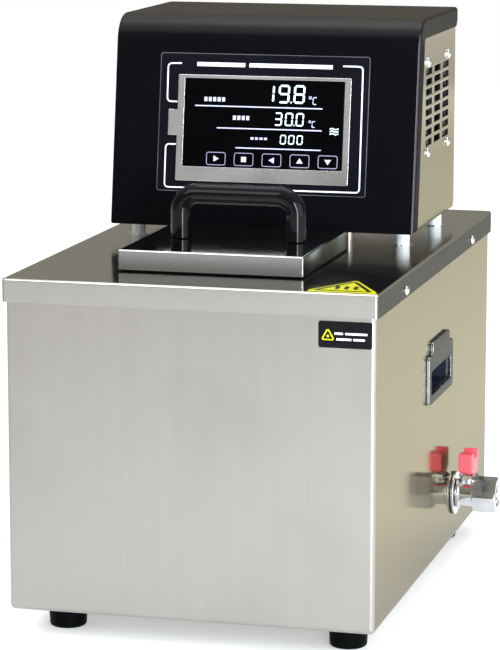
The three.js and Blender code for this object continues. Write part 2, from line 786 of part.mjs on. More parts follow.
function fanFrame() {
  const y = FAN.frameY / 2;
  const z = FAN.frameZ / 2;
  const square = roundedRect(-y, y, -z, z, 4);
  const frame = extruded(square, FAN.depth);
  const holes = [rod(FAN.bore, -1, FAN.depth + 1, 32)];
  for (const [py, pz] of fanScrewPlaces()) {
    const hole = rod(SCREW_HOLE_RADIUS, FAN.depth - 16, FAN.depth + 1, 10);
    holes.push(hole.translate(py - FAN.y, pz - FAN.z, 0));
  }
  const struts = [rod(16, 0, 3.5)];
  for (let i = 0; i < 4; i += 1) {
    const strut = block([0, FAN.bore + 2], [-2, 2], [0, 3]).rotateZ(Math.PI / 4 + (i * Math.PI) / 2);
    struts.push(strut);
  }
  return alongX(join(cut(frame, ...holes), ...struts));
}

function fanRotor() {
  const pieces = [rod(FAN.hubRadius, 0, 17, ROUND)];
  for (let i = 0; i < FAN.blades; i += 1) {
    const blade = block([FAN.hubRadius - 5, FAN.bladeTip], [-9, 9], [-0.9, 0.9]);
    blade.rotateX(THREE.MathUtils.degToRad(38)).translate(0, 0, 8.5);
    pieces.push(blade.rotateZ((2 * Math.PI * i) / FAN.blades));
  }
  return alongX(join(...pieces));
}

const fanStart = sidePanelInner - GAP - FAN.depth;
place("fan_frame", fanFrame(), darkPlastic, [fanStart, FAN.y, FAN.z]);
place("fan_rotor", fanRotor(), darkPlastic, [fanStart + 5, FAN.y, FAN.z]);
for (const [index, [y, z]] of fanScrewPlaces().entries()) {
  const screw = alongX(panHeadScrew(4, 2.6, 1.9, 14));
  place(`vent_screw_${index + 1}`, screw, chrome, [sidePanelOuter + GAP, y, z]);
}

// ---------- pump, heater and probe ----------

const headFloor = HEAD.bottom + SHEET + GAP;

function pumpColumn() {
  const flange = ring(22, SHAFT_RADIUS + 3, headFloor, headFloor + 3, ROUND);
  const tube = ring(PUMP.columnRadius, SHAFT_RADIUS + 3, PUMP.housingTop + GAP, headFloor + 1, ROUND);
  return join(flange, tube);
}

function pumpHousing() {
  const { housingRadius: r, housingBottom: z0, housingTop: z1 } = PUMP;
  const shell = rod(r, z0, z1, ROUND);
  const chamber = rod(r - PUMP.wall, z0 + PUMP.wall, z1 - PUMP.wall, ROUND);
  const intake = rod(10, z0 - 1, z0 + 4);
  const shaftHole = rod(SHAFT_RADIUS + 1.5, z1 - 4, z1 + 1);
  const outlet = alongX(rod(PIPE.radius - 1.5, -r - 1, -r + 6)).translate(0, 0, (z0 + z1) / 2);
  return cut(shell, chamber, intake, shaftHole, outlet);
}

function pumpImpeller() {
  const z0 = PUMP.housingBottom + 5;
  const z1 = PUMP.housingTop - 5;
  const pieces = [rod(PUMP.impellerRadius, z0, z0 + 3, ROUND), rod(7, z0, z1)];
  for (let i = 0; i < PUMP.vanes; i += 1) {
    const vane = block([4, PUMP.impellerRadius - 0.5], [-1, 1], [z0 + 1, z1]);
    pieces.push(vane.rotateZ((2 * Math.PI * i) / PUMP.vanes));
  }
  return cut(join(...pieces), rod(SHAFT_RADIUS + 0.3, z0 - 1, z1 + 1));
}

const motorBottom = headFloor + 3 + GAP;

function pumpMotor() {
  const top = motorBottom + MOTOR.height;
  return turned(
    [
      [SHAFT_RADIUS + 1, motorBottom],
      [MOTOR.radius, motorBottom],
      [MOTOR.radius, top - 6],
      [MOTOR.radius - 6, top],
      [SHAFT_RADIUS + 1, top],
      [SHAFT_RADIUS + 1, motorBottom],
    ],
    ROUND,
  );
}

function heatingCoil() {
  const top = headFloor + HEATER.terminal;
  const { x, frontY, rearY, level } = HEATER;
  const corners = [
    [-x, frontY, top],
    [-x, frontY, level],
    [-x, rearY, level],
    [x, rearY, level],
    [x, frontY, level],
    [x, frontY, top],
  ];
  return bentTube(corners, HEATER.bend, HEATER.radius, 8, 52);
}

function temperatureProbe() {
  const top = headFloor + 10;
  return turned(
    [
      [0, PROBE.tip],
      [PROBE.radius - 1, PROBE.tip],
      [PROBE.radius, PROBE.tip + 1.5],
      [PROBE.radius, headFloor],
      [6, headFloor],
      [6, headFloor + 6],
      [PROBE.radius, headFloor + 6],
      [PROBE.radius, top],
      [0, top],
    ],
    SMALL_ROUND,
  );
}

const pumpPlace = [PUMP.x, PUMP.y, 0];
const shaft = rod(SHAFT_RADIUS, PUMP.housingBottom + 4, motorBottom + MOTOR.height + 5);
place("pump_column", pumpColumn(), polished, pumpPlace);
place("pump_housing", pumpHousing(), whitePlastic, pumpPlace);
place("pump_impeller", pumpImpeller(), whitePlastic, pumpPlace);
place("pump_shaft", shaft, chrome, pumpPlace);
place("pump_motor", pumpMotor(), darkPlastic, pumpPlace);
place("heating_coil", heatingCoil(), copper);
place("temperature_probe", temperatureProbe(), chrome, [PROBE.x, PROBE.y, 0]);

// ---------- circulation pipes and rear fittings ----------

const pipeRearEnd = backInner - GAP;

function outletPipe() {
  const level = (PUMP.housingBottom + PUMP.housingTop) / 2;
  const corners = [
    [PUMP.x - PUMP.housingRadius - GAP, PUMP.y, level],
    [PIPE.outletX, PUMP.y, level],
    [PIPE.outletX, PUMP.y, PIPE.level],
    [PIPE.outletX, pipeRearEnd, PIPE.level],
  ];
  return bentTube(corners, PIPE.bend, PIPE.radius, 8, 40);
}

function returnPipe() {
  const corners = [
    [PIPE.returnX, PIPE.returnY, PIPE.returnEnd],
    [PIPE.returnX, PIPE.returnY, PIPE.level],
    [PIPE.returnX, pipeRearEnd, PIPE.level],
  ];
  return bentTube(corners, PIPE.bend, PIPE.radius, 8, 24);
}

// A hose barb with a hexagon base, drawn along +Z from the panel.
function hoseBarb() {
  const hex = rod(REAR_FITTING.hexRadius, 0, 7, 6);
  const { barbs, barbPitch, barbRadius, length, bore } = REAR_FITTING;
  const profile = [[0, 6], [4.6, 6]];
  for (let i = 0; i < barbs; i += 1) {
    const z = 9 + i * barbPitch;
    profile.push([4.8, z], [barbRadius, z], [4.8, z + barbPitch - 0.5]);
  }
  profile.push([4.4, length], [0, length]);
  const tail = turned(profile, SMALL_ROUND);
  return cut(join(hex, tail), rod(bore, -1, length + 1));
}

place("outlet_pipe", outletPipe(), polished);
place("return_pipe", returnPipe(), polished);
for (const [name, x] of [["outlet_fitting", PIPE.outletX], ["return_fitting", PIPE.returnX]]) {
  place(name, alongY(hoseBarb()), chrome, [x, backOuter + GAP, PIPE.level]);
}

// ---------- power ----------

// Turns a piece drawn with X across, Y up and Z out of the back, as seen from behind.
function facingRear(geometry) {
  const basis = new THREE.Matrix4().makeBasis(
    new THREE.Vector3(-1, 0, 0),
    new THREE.Vector3(0, 0, 1),
    new THREE.Vector3(0, 1, 0),
  );
  return geometry.applyMatrix4(basis);
}

function powerInlet() {
  const halfX = INLET.width / 2;
  const halfY = INLET.height / 2;
  const flange = extruded(roundedRect(-halfX, halfX, -halfY, halfY, 3), INLET.flange);
  const body = block(
    [-halfX + INLET.bodyInset, halfX - INLET.bodyInset],
    [-halfY + INLET.bodyInset, halfY - INLET.bodyInset],
    [-INLET.bodyDepth, 1],
  );
  const socket = block([-22.5, 4.5], [-9.5, 9.5], [-17, 5]);
  const rockerPocket = block(
    [ROCKER.x - ROCKER.halfWidth - 0.6, ROCKER.x + ROCKER.halfWidth + 0.6],
    [-ROCKER.halfHeight - 1.6, ROCKER.halfHeight + 1.6],
    [-10, 5],
  );
  const pins = [
    block([-10, -8], [1.5, 5.5], [-18, -4]),
    block([-17, -15], [-5, -1], [-18, -4]),
    block([-3, -1], [-5, -1], [-18, -4]),
  ];
  return join(cut(join(flange, body), socket, rockerPocket), ...pins);
}

function powerRocker() {
  const side = [
    [-ROCKER.halfHeight, 5.5],
    [-ROCKER.halfHeight + 3, -2],
    [ROCKER.halfHeight - 3, -2],
    [ROCKER.halfHeight, 5.5],
    [0, 4.2],
  ];
  const key = alongX(extruded(outline(side), 2 * ROCKER.halfWidth)).translate(-ROCKER.halfWidth, 0, 0);
  return key.rotateX(ROCKER.tilt);
}

const inletPlace = [INLET.x, backOuter + GAP, INLET.z];
const rockerPlace = [INLET.x - ROCKER.x, backOuter + GAP - ROCKER.pivotDepth, INLET.z];
const relay = join(
  block([72, 112], [52, 108], [headFloor, headFloor + 5]),
  block([76, 108], [58, 102], [headFloor + 4, headFloor + 24]),
);
place("power_inlet", facingRear(powerInlet()), darkPlastic, inletPlace);
place("power_rocker", facingRear(powerRocker()), redPlastic, rockerPlace);
place("power_supply", block([-118, -60], [62, 142], [headFloor, headFloor + 38]), silver);
place("heater_relay", relay, darkPlastic);

// ---------- labels ----------

function frontLabel() {
  const { left, right, bottom, top, thickness } = FRONT_LABEL;
  return extruded(roundedRect(left, right, bottom, top, 1.5), thickness).rotateX(Math.PI / 2);
}

function hotSurfaceLabel() {
  const { x, base, apex, halfBase, thickness } = HOT_LABEL;
  return extruded(outline([[x - halfBase, base], [x + halfBase, base], [x, apex]]), thickness);
}

place("front_label", frontLabel(), blackFilm, [0, -WALL_Y - GAP, 0]);
place("hot_surface_label", hotSurfaceLabel(), yellowFilm, [0, 0, PANEL.top + GAP]);

// Everything is moved so that the origin is the middle of the box's base.
const rightmost = VALVE.end;
const leftmost = -(WALL_X + GRIP.proud);
bath.position.x = -(rightmost + leftmost) / 2;

const waterBath = new THREE.Group();
waterBath.add(bath);

export default waterBath;
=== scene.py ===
"""Looks of a heated circulating water bath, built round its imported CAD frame.

Pieces are drawn in millimetres, in the frame's own directions: +X right, -Y front, +Z up.
"""

import json
import math

import bmesh
import bpy
from mathutils import Matrix, Vector

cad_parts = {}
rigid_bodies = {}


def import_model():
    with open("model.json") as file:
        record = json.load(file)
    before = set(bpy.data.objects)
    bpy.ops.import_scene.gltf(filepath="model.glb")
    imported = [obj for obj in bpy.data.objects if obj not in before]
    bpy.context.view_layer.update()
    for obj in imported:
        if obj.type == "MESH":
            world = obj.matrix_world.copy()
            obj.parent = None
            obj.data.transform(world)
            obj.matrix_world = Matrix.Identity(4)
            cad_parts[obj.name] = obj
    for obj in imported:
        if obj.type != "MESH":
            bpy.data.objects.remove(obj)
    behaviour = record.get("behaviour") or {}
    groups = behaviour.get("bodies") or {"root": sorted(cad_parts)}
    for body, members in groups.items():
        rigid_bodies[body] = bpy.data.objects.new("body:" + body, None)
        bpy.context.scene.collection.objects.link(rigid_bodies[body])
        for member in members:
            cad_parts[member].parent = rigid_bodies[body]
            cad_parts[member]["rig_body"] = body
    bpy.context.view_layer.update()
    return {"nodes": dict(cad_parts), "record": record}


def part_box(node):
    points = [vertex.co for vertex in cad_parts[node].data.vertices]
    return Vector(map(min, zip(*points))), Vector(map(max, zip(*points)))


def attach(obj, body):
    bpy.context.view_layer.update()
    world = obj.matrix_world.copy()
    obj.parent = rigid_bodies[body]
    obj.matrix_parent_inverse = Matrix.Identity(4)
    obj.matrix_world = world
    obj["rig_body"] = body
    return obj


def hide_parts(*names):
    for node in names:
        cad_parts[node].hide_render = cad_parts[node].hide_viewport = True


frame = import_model()

MM = 0.001
NODES = frame["nodes"]
SLOT_OF = {part["node"]: part["material_slot"] for part in frame["record"]["subparts"]}


def box(node):
    """Lowest and highest corner of a CAD node, in millimetres."""
    low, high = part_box(node)
    return low / MM, high / MM


def middle(node):
    low, high = box(node)
    return (low + high) / 2


# ---------- camera, floor and light ----------

CAMERA_AT = Vector((0.5910, -2.3181, 0.6459))
CAMERA_TARGET = Vector((-0.02917, 0.0, 0.21119))
LENS = 165.9
FLOOR_HALF = 4.0
FLOOR_GLOW = 0.33
ROOM = (  # the room's colour by the height of a direction, from level to straight up
    (0.0, (0.60, 0.58, 0.55)), (0.12, (0.26, 0.255, 0.21)), (0.34, (0.34, 0.335, 0.29)),
    (0.6, (0.72, 0.72, 0.72)), (1.0, (1.15, 1.15, 1.15)),
)


def aim(obj, target):
    obj.rotation_mode = "QUATERNION"
    obj.rotation_quaternion = (Vector(target) - obj.location).to_track_quat("-Z", "Y")


def add_camera():
    data = bpy.data.cameras.new("camera")
    data.lens = LENS
    data.sensor_width = 36
    camera = bpy.data.objects.new("camera", data)
    bpy.context.scene.collection.objects.link(camera)
    camera.location = CAMERA_AT
    aim(camera, CAMERA_TARGET)
    bpy.context.scene.camera = camera


def softbox(name, at, target, size, power, color=(1, 1, 1)):
    data = bpy.data.lights.new(name, "AREA")
    data.shape = "RECTANGLE"
    data.size, data.size_y = size
    data.energy = power
    data.color = color
    light = bpy.data.objects.new(name, data)
    bpy.context.scene.collection.objects.link(light)
    light.location = at
    aim(light, target)
    light.visible_camera = False
    return light


def fill_ramp(node, stops):
    """Sets a colour ramp from pairs of place and colour."""
    ramp = node.color_ramp.elements
    for i, (place, color) in enumerate(stops):
        stop = ramp[i] if i < 2 else ramp.new(place)
        stop.position, stop.color = place, (*color, 1)


def add_world():
    """White to the eye, and a soft room to reflect: a pale ceiling over a greyer wall."""
    world = bpy.data.worlds.new("studio")
    world.use_nodes = True
    bpy.context.scene.world = world
    tree = world.node_tree
    tree.nodes.clear()
    coord = tree.nodes.new("ShaderNodeTexCoord")
    axes = tree.nodes.new("ShaderNodeSeparateXYZ")
    height = tree.nodes.new("ShaderNodeValToRGB")
    room = tree.nodes.new("ShaderNodeBackground")
    white = tree.nodes.new("ShaderNodeBackground")
    path = tree.nodes.new("ShaderNodeLightPath")
    mix = tree.nodes.new("ShaderNodeMixShader")
    output = tree.nodes.new("ShaderNodeOutputWorld")
    fill_ramp(height, ROOM)
    white.inputs["Color"].default_value = (1, 1, 1, 1)
    tree.links.new(coord.outputs["Generated"], axes.inputs[0])
    tree.links.new(axes.outputs["Z"], height.inputs["Fac"])
    tree.links.new(height.outputs["Color"], room.inputs["Color"])
    tree.links.new(path.outputs["Is Camera Ray"], mix.inputs["Fac"])
    tree.links.new(room.outputs[0], mix.inputs[1])
    tree.links.new(white.outputs[0], mix.inputs[2])
    tree.links.new(mix.outputs[0], output.inputs["Surface"])


def add_stage():
    corners = [(x * FLOOR_HALF, y * FLOOR_HALF, 0) for x, y in ((-1, -1), (1, -1), (1, 1), (-1, 1))]
    mesh = bpy.data.meshes.new("floor")
    mesh.from_pydata(corners, [], [(0, 1, 2, 3)])
    floor = bpy.data.objects.new("floor", mesh)
    bpy.context.scene.collection.objects.link(floor)
    graph = Graph("floor_paper", roughness=0.7, Emission_Color=(1, 1, 1, 1), Emission_Strength=FLOOR_GLOW)
    graph.color(graph.noise((40, 40, 40), detail=4), (0.86, 0.86, 0.86), (0.9, 0.9, 0.9))
    mesh.materials.append(graph.material)

    softbox("key", (-1.1, -1.9, 1.9), (0, 0, 0.25), (1.6, 1.2), 25)
    softbox("side", (1.8, -0.9, 0.72), (0, 0, 0.3), (2.2, 1.4), 26)
    softbox("strip", (0.66, -1.25, 0.43), (0, -0.1, 0.43), (0.26, 0.84), 21, (0.80, 0.90, 1.0))
    softbox("top", (0.0, 0.5, 2.2), (0, 0, 0.3), (1.6, 1.6), 16)
    bpy.context.scene.view_settings.view_transform = "Standard"


# ---------- finishes ----------

GRAIN_UP = (5200, 5200, 26)  # lines a metre along each axis: a brush line is long where they are few
GRAIN_ACROSS = (26, 5200, 5200)
GRAIN_BACK = (5200, 26, 5200)
PAINTED_BENCH_REFLECTION = (0.030, 0.105)  # heights between which a side wall's painted reflection turns from the bench's cool dark tone to the room's warm one
BEND_PAINTED_HIGHLIGHT = ((0.25, 0.022), (0.52, 0.22), (0.69, 0.36), (0.85, 0.17), (0.97, 0.09))  # specular level up the head's top bend, peaked to paint a highlight band along it

BRUSHED = {  # light and dark tone, roughness, grain, and tint at grazing angles
    "brushed_stainless": ((0.36, 0.345, 0.325), (0.315, 0.302, 0.283), 0.30, GRAIN_UP),
    "flange_front": ((0.40, 0.385, 0.37), (0.35, 0.34, 0.325), 0.30, GRAIN_ACROSS),
    # painted shade: a dark copy of the flange's steel for its side faces, standing for their dark reflection
    "flange_side_shade": ((0.13, 0.13, 0.12), (0.10, 0.10, 0.095), 0.28, GRAIN_BACK, (0.45, 0.45, 0.43)),
    "lid_skirt": ((0.33, 0.34, 0.34), (0.28, 0.285, 0.285), 0.28, GRAIN_ACROSS),
    "grip_steel": ((0.085, 0.083, 0.078), (0.070, 0.068, 0.064), 0.24, GRAIN_BACK, (0.5, 0.5, 0.48)),
    "case_aluminium": ((0.70, 0.70, 0.71), (0.60, 0.60, 0.61), 0.34, GRAIN_BACK),
}
POLISHED = {  # light and dark tone, roughness
    "polished_stainless": ((0.56, 0.54, 0.49), (0.47, 0.455, 0.41), 0.12),
    "lid_stainless": ((0.60, 0.60, 0.56), (0.52, 0.515, 0.48), 0.07),
}
PLATED = {  # light and dark tone, roughness
    "cut_edge": ((0.44, 0.46, 0.52), (0.36, 0.38, 0.43), 0.22),
    "valve_chrome": ((0.66, 0.67, 0.69), (0.56, 0.57, 0.60), 0.10),
    "screw_zinc": ((0.92, 0.92, 0.92), (0.80, 0.80, 0.80), 0.22),
}
MOULDED = {  # light and dark tone, roughness, grains a metre, strength of the grain, gloss level
    # painted highlight: a lighter, glossier black for the head's right front bend
    "head_edge_highlight": ((0.006, 0.006, 0.008), (0.004, 0.004, 0.006), 0.38, 1800, 0.12),
    # painted reflection: a brown-grey black for the cover's right lip
    "head_lip_reflection": ((0.015, 0.0125, 0.0095), (0.011, 0.0095, 0.007), 0.45, 1800, 0.12, 0.08),
    # painted shade: near-black walls for the vent slots
    "slot_edge_shade": ((0.022, 0.020, 0.017), (0.014, 0.013, 0.011), 0.5, 1800, 0.12, 0.1),
    "motor_paint": ((0.05, 0.05, 0.055), (0.035, 0.035, 0.04), 0.35, 1800, 0.12),
    "handle_gloss": ((0.004, 0.004, 0.005), (0.002, 0.002, 0.003), 0.07, 300, 0.02, 0.15),
    "foot_rubber": ((0.0012, 0.0018, 0.0022), (0.0008, 0.0012, 0.0016), 0.5, 1500, 0.3, 0.04),
    "dark_plastic": ((0.014, 0.0145, 0.018), (0.009, 0.0095, 0.012), 0.42, 1800, 0.12, 0.2),
    "recess_plastic": ((0.012, 0.016, 0.030), (0.006, 0.008, 0.018), 0.30, 1800, 0.12),
    "pump_plastic": ((0.74, 0.73, 0.68), (0.66, 0.65, 0.60), 0.45, 1800, 0.12),
    "standoff_plastic": ((0.88, 0.93, 0.96), (0.82, 0.88, 0.92), 0.35, 900, 0.08),
    "lever_plastic": ((0.82, 0.10, 0.13), (0.70, 0.06, 0.09), 0.32, 1200, 0.10),
    "display_film": ((0.0040, 0.0040, 0.0085), (0.0028, 0.0028, 0.0060), 0.2, 600, 0.02, 0.14),
    "bezel_silver": ((0.69, 0.675, 0.72), (0.62, 0.61, 0.64), 0.26, 900, 0.01),
    "screen_glass": ((0.0012, 0.0012, 0.0018), (0.0008, 0.0008, 0.0012), 0.06, 200, 0.01, 0.06),
    "label_film_black": ((0.004, 0.004, 0.005), (0.003, 0.003, 0.004), 0.35, 900, 0.05, 0.1),
    "label_film_yellow": ((0.64, 0.64, 0.008), (0.58, 0.58, 0.006), 0.4, 900, 0.05, 0.12),
    "ink_white": ((0.90, 0.91, 0.95), (0.82, 0.84, 0.90), 0.5, 900, 0.05),
    "ink_edge": ((0.11, 0.11, 0.14), (0.04, 0.04, 0.06), 0.4, 900, 0.05),
}
GLOWING = {  # colour and strength
    "lit_cyan": ((0.80, 1.0, 1.0), 1.7),
    "lit_violet": ((0.66, 0.66, 1.0), 1.2),
    "lit_dim": ((0.42, 0.38, 0.62), 0.6),
}


class Graph:
    """A material on the Principled shader, with its patterns in object space."""

    def __init__(self, name, roughness=0.5, metallic=0.0, **constants):
        self.material = bpy.data.materials.new(name)
        self.material.use_nodes = True
        self.tree = self.material.node_tree
        self.shader = self.tree.nodes["Principled BSDF"]
        self.shader.inputs["Roughness"].default_value = roughness
        self.shader.inputs["Metallic"].default_value = metallic
        for socket, value in constants.items():
            self.shader.inputs[socket.replace("_", " ")].default_value = value
        self.place = self.tree.nodes.new("ShaderNodeTexCoord").outputs["Object"]

    def scaled(self, scale):
        mapping = self.tree.nodes.new("ShaderNodeMapping")
        mapping.inputs["Scale"].default_value = scale
        self.tree.links.new(self.place, mapping.inputs["Vector"])
        return mapping.outputs["Vector"]

    def noise(self, scale, detail=3.0, roughness=0.55):
        """Noise with its own number of cells per metre along each axis."""
        node = self.tree.nodes.new("ShaderNodeTexNoise")
        node.inputs["Scale"].default_value = 1
        node.inputs["Detail"].default_value = detail
        node.inputs["Roughness"].default_value = roughness
        self.tree.links.new(self.scaled(scale), node.inputs["Vector"])
        return node.outputs["Fac"]

    def cells(self, scale, feature="F1"):
        node = self.tree.nodes.new("ShaderNodeTexVoronoi")
        node.feature = feature
        node.inputs["Scale"].default_value = 1
        self.tree.links.new(self.scaled(scale), node.inputs["Vector"])
        return node.outputs["Distance"]

    def remap(self, value, low, high, start=0.3, end=0.7):
        node = self.tree.nodes.new("ShaderNodeMapRange")
        node.inputs["From Min"].default_value = start
        node.inputs["From Max"].default_value = end
        node.inputs["To Min"].default_value = low
        node.inputs["To Max"].default_value = high
        self.tree.links.new(value, node.inputs["Value"])
        return node.outputs["Result"]

    def height(self, low, high):
        """0 at one height above the floor and 1 at the other, in metres."""
        axes = self.tree.nodes.new("ShaderNodeSeparateXYZ")
        self.tree.links.new(self.place, axes.inputs[0])
        return self.remap(axes.outputs["Z"], 0, 1, low, high)

    def blend(self, value, first, second, start=0.35, end=0.65):
        """A colour between two, where either may be another blend's output."""
        node = self.tree.nodes.new("ShaderNodeMix")
        node.data_type = "RGBA"
        self.tree.links.new(self.remap(value, 0, 1, start, end), node.inputs["Factor"])
        for socket, color in (("A", first), ("B", second)):
            target = [s for s in node.inputs if s.name == socket and s.type == "RGBA"][0]
            if isinstance(color, tuple):
                target.default_value = (*color, 1)
            else:
                self.tree.links.new(color, target)
        return [s for s in node.outputs if s.type == "RGBA"][0]

    def color(self, value, first, second, start=0.35, end=0.65):
        self.tree.links.new(self.blend(value, first, second, start, end), self.shader.inputs["Base Color"])

    def roughness(self, value, low, high):
        self.tree.links.new(self.remap(value, low, high), self.shader.inputs["Roughness"])

    def gloss(self, value, stops):
        """Specular level along a value, as pairs of place and level."""
        node = self.tree.nodes.new("ShaderNodeValToRGB")
        fill_ramp(node, [(place, (level, level, level)) for place, level in stops])
        self.tree.links.new(value, node.inputs["Fac"])
        self.tree.links.new(node.outputs["Color"], self.shader.inputs["Specular IOR Level"])

    def bump(self, value, strength, depth=0.0002):
        node = self.tree.nodes.new("ShaderNodeBump")
        node.inputs["Strength"].default_value = strength
        node.inputs["Distance"].default_value = depth
        self.tree.links.new(value, node.inputs["Height"])
        if self.shader.inputs["Normal"].is_linked:
            earlier = self.shader.inputs["Normal"].links[0].from_socket
            self.tree.links.new(earlier, node.inputs["Normal"])
        self.tree.links.new(node.outputs["Normal"], self.shader.inputs["Normal"])


def brushed(name, light, dark, roughness, grain, edge_tint=(1, 1, 1)):
    """Stainless steel with fine brush lines along the axis whose grain count is low."""
    graph = Graph(name, metallic=1.0, Specular_Tint=(*edge_tint, 1))
    lines = graph.noise(grain, detail=2)
    broad = graph.noise(tuple(1.5 if count < 100 else 75 for count in grain), detail=4)
    patches = graph.noise((9, 9, 9), detail=2)
    base = graph.blend(lines, dark, light, 0.25, 0.75)
    shade = tuple(0.94 * c for c in dark)
    graph.color(patches, graph.blend(broad, base, light, 0.4, 0.8), shade, 0.5, 0.95)
    graph.roughness(broad, roughness - 0.03, roughness + 0.05)
    graph.bump(lines, 0.10, 0.00004)
    return graph.material


def side_reflection_paint(name, painted_brightening_from=1.0):
    """Smoother sheet for the sides, its colour painted with reflections: a warm painted reflection of the
    room above, and a cooler, darker painted reflection where it faces the bench.

    Above the height given by its last argument, in metres, a painted reflection makes it brighter again.
    """
    graph = Graph(name, metallic=1.0)
    # painted reflection: the sheet grows brighter above the given height
    painted_lift = graph.height(painted_brightening_from, painted_brightening_from + 0.10)
    tint = graph.blend(painted_lift, (0.67, 0.634, 0.518), (0.98, 0.95, 0.86), 0, 1)
    graph.tree.links.new(tint, graph.shader.inputs["Specular Tint"])
    lines = graph.noise(GRAIN_UP, detail=2)
    broad = graph.noise((60, 60, 1.5), detail=4)
    # painted reflection: the warm room tone, in the colour and in the grazing tint above
    painted_warm = graph.blend(lines, (0.34, 0.322, 0.27), (0.36, 0.342, 0.29), 0.25, 0.75)
    painted_warm = graph.blend(broad, painted_warm, (0.37, 0.35, 0.30), 0.4, 0.9)
    painted_warm = graph.blend(painted_lift, painted_warm, (0.60, 0.575, 0.50), 0, 1)
    # painted reflection of the darker bench: cool and dark low down, turning warm higher up
    graph.color(graph.height(*PAINTED_BENCH_REFLECTION), (0.225, 0.23, 0.25), painted_warm, 0, 1)
    graph.roughness(broad, 0.085, 0.12)
    graph.bump(lines, 0.04, 0.00004)
    return graph.material


def moulded(name, light, dark, roughness, grain, strength, gloss=0.5):
    """Plastic, rubber or paint with a fine grain, slightly uneven in tone and roughness."""
    graph = Graph(name, Specular_IOR_Level=gloss)
    fine = graph.noise((grain, grain, grain), detail=2)
    broad = graph.noise((14, 14, 14), detail=3)
    graph.color(broad, dark, light)
    graph.roughness(broad, roughness - 0.03, roughness + 0.04)
    graph.bump(fine, strength, 0.00008)
    return graph.material


def plated(name, light, dark, roughness):
    """Bright plated metal with faint smears."""
    graph = Graph(name, metallic=1.0)
    smear = graph.noise((60, 60, 140), detail=4)
    graph.color(smear, dark, light)
    graph.roughness(smear, roughness * 0.7, roughness * 1.4)
    graph.bump(graph.noise((700, 700, 700)), 0.05, 0.00003)
    return graph.material


def polished_steel(name, light, dark, roughness):
    """Rolled near-mirror sheet with a faint grain across it and soft handling marks."""
    graph = Graph(name, metallic=1.0)
    grain = graph.noise((14, 3600, 3600), detail=2)
    marks = graph.noise((16, 24, 24), detail=5, roughness=0.6)
    graph.color(marks, graph.blend(grain, dark, light, 0.3, 0.7), dark, 0.45, 0.8)
    graph.roughness(marks, roughness * 0.8, roughness * 1.3)
    graph.bump(grain, 0.05, 0.00003)
    return graph.material


def glowing(name, color, strength):
    """Lit display segments, a little brighter in the middle of each cell."""
    graph = Graph(name, roughness=0.3)
    cells = graph.noise((900, 900, 900), detail=1)
    graph.color(cells, tuple(0.5 * c for c in color), tuple(0.6 * c for c in color))
    link = graph.shader.inputs["Base Color"].links[0].from_socket
    graph.tree.links.new(link, graph.shader.inputs["Emission Color"])
    graph.shader.inputs["Emission Strength"].default_value = strength
    return graph.material


def circuit_green():
    graph = Graph("circuit_green", roughness=0.35)
    tracks = graph.cells((260, 260, 260), "DISTANCE_TO_EDGE")
    graph.color(tracks, (0.10, 0.30, 0.10), (0.015, 0.12, 0.045), 0.04, 0.07)
    graph.bump(tracks, 0.2)
    return graph.material


def heated_sheath():
    graph = Graph("heated_sheath", metallic=1.0)
    tint = graph.noise((22, 22, 30), detail=5)
    graph.color(tint, (0.42, 0.30, 0.18), (0.50, 0.47, 0.45))
    graph.roughness(tint, 0.28, 0.42)
    graph.bump(graph.noise((900, 900, 900)), 0.08)
    return graph.material


def felt():
    graph = Graph("felt", Sheen_Weight=0.4)
    fibres = graph.noise((2600, 2600, 2600), detail=5)
    graph.color(fibres, (0.50, 0.46, 0.34), (0.78, 0.74, 0.62))
    graph.roughness(fibres, 0.85, 0.95)
    graph.bump(fibres, 0.8, 0.0008)
    return graph.material


def powder_coat():
    """Black powder coat, with a fine orange-peel texture that breaks its highlights up.

    Its gloss is peaked along the top bend to paint a highlight band there, and the flat top is painted
    browner as a painted reflection.
    """
    top = box("head_cover")[1].z * MM
    graph = Graph("powder_coat")
    # painted highlight: gloss raised along the top bend
    graph.gloss(graph.height(top - 0.020, top), BEND_PAINTED_HIGHLIGHT)
    grit = graph.noise((1500, 1500, 1500), detail=3, roughness=0.7)
    tone = graph.noise((9, 9, 9), detail=3)
    speck = graph.cells((900, 900, 900))
    front = graph.blend(tone, (0.0022, 0.0022, 0.0034), (0.0030, 0.0030, 0.0045))
    # painted reflection: the flat top is tinted brown
    painted_top_reflection = graph.blend(tone, (0.024, 0.0165, 0.0085), (0.028, 0.0205, 0.0115))
    coat_and_painted_top = graph.blend(graph.height(top - 0.0035, top - 0.0003), front, painted_top_reflection, 0, 1)
    graph.color(speck, coat_and_painted_top, (0.0016, 0.0016, 0.0024), 0.3, 0.9)
    graph.roughness(grit, 0.36, 0.50)
    graph.bump(grit, 0.35, 0.00012)
    return graph.material


def shader_of(material):
    return material.node_tree.nodes["Principled BSDF"]


def make_finishes():
    """One material for each slot of the record, and a few for the details."""
    tables = {brushed: BRUSHED, polished_steel: POLISHED, plated: PLATED, moulded: MOULDED, glowing: GLOWING}
    finishes = {}
    for make, table in tables.items():
        finishes |= {name: make(name, *values) for name, values in table.items()}
    bezel, standoff = finishes["bezel_silver"], finishes["standoff_plastic"]
    shader_of(bezel).inputs["Metallic"].default_value = 1.0
    shader_of(standoff).inputs["Subsurface Weight"].default_value = 0.15
    shader_of(standoff).inputs["Subsurface Scale"].default_value = 0.004
    finishes |= {
        # side sheets with painted reflections; the head's sides are painted brighter above 0.345 m
        "brushed_side": side_reflection_paint("brushed_side"),
        "head_side": side_reflection_paint("head_side", painted_brightening_from=0.345),
        "head_paint": powder_coat(),
        "circuit_board": circuit_green(),
        "heater_metal": heated_sheath(),
        "insulation_felt": felt(),
    }
    return finishes


# ---------- outlines ----------


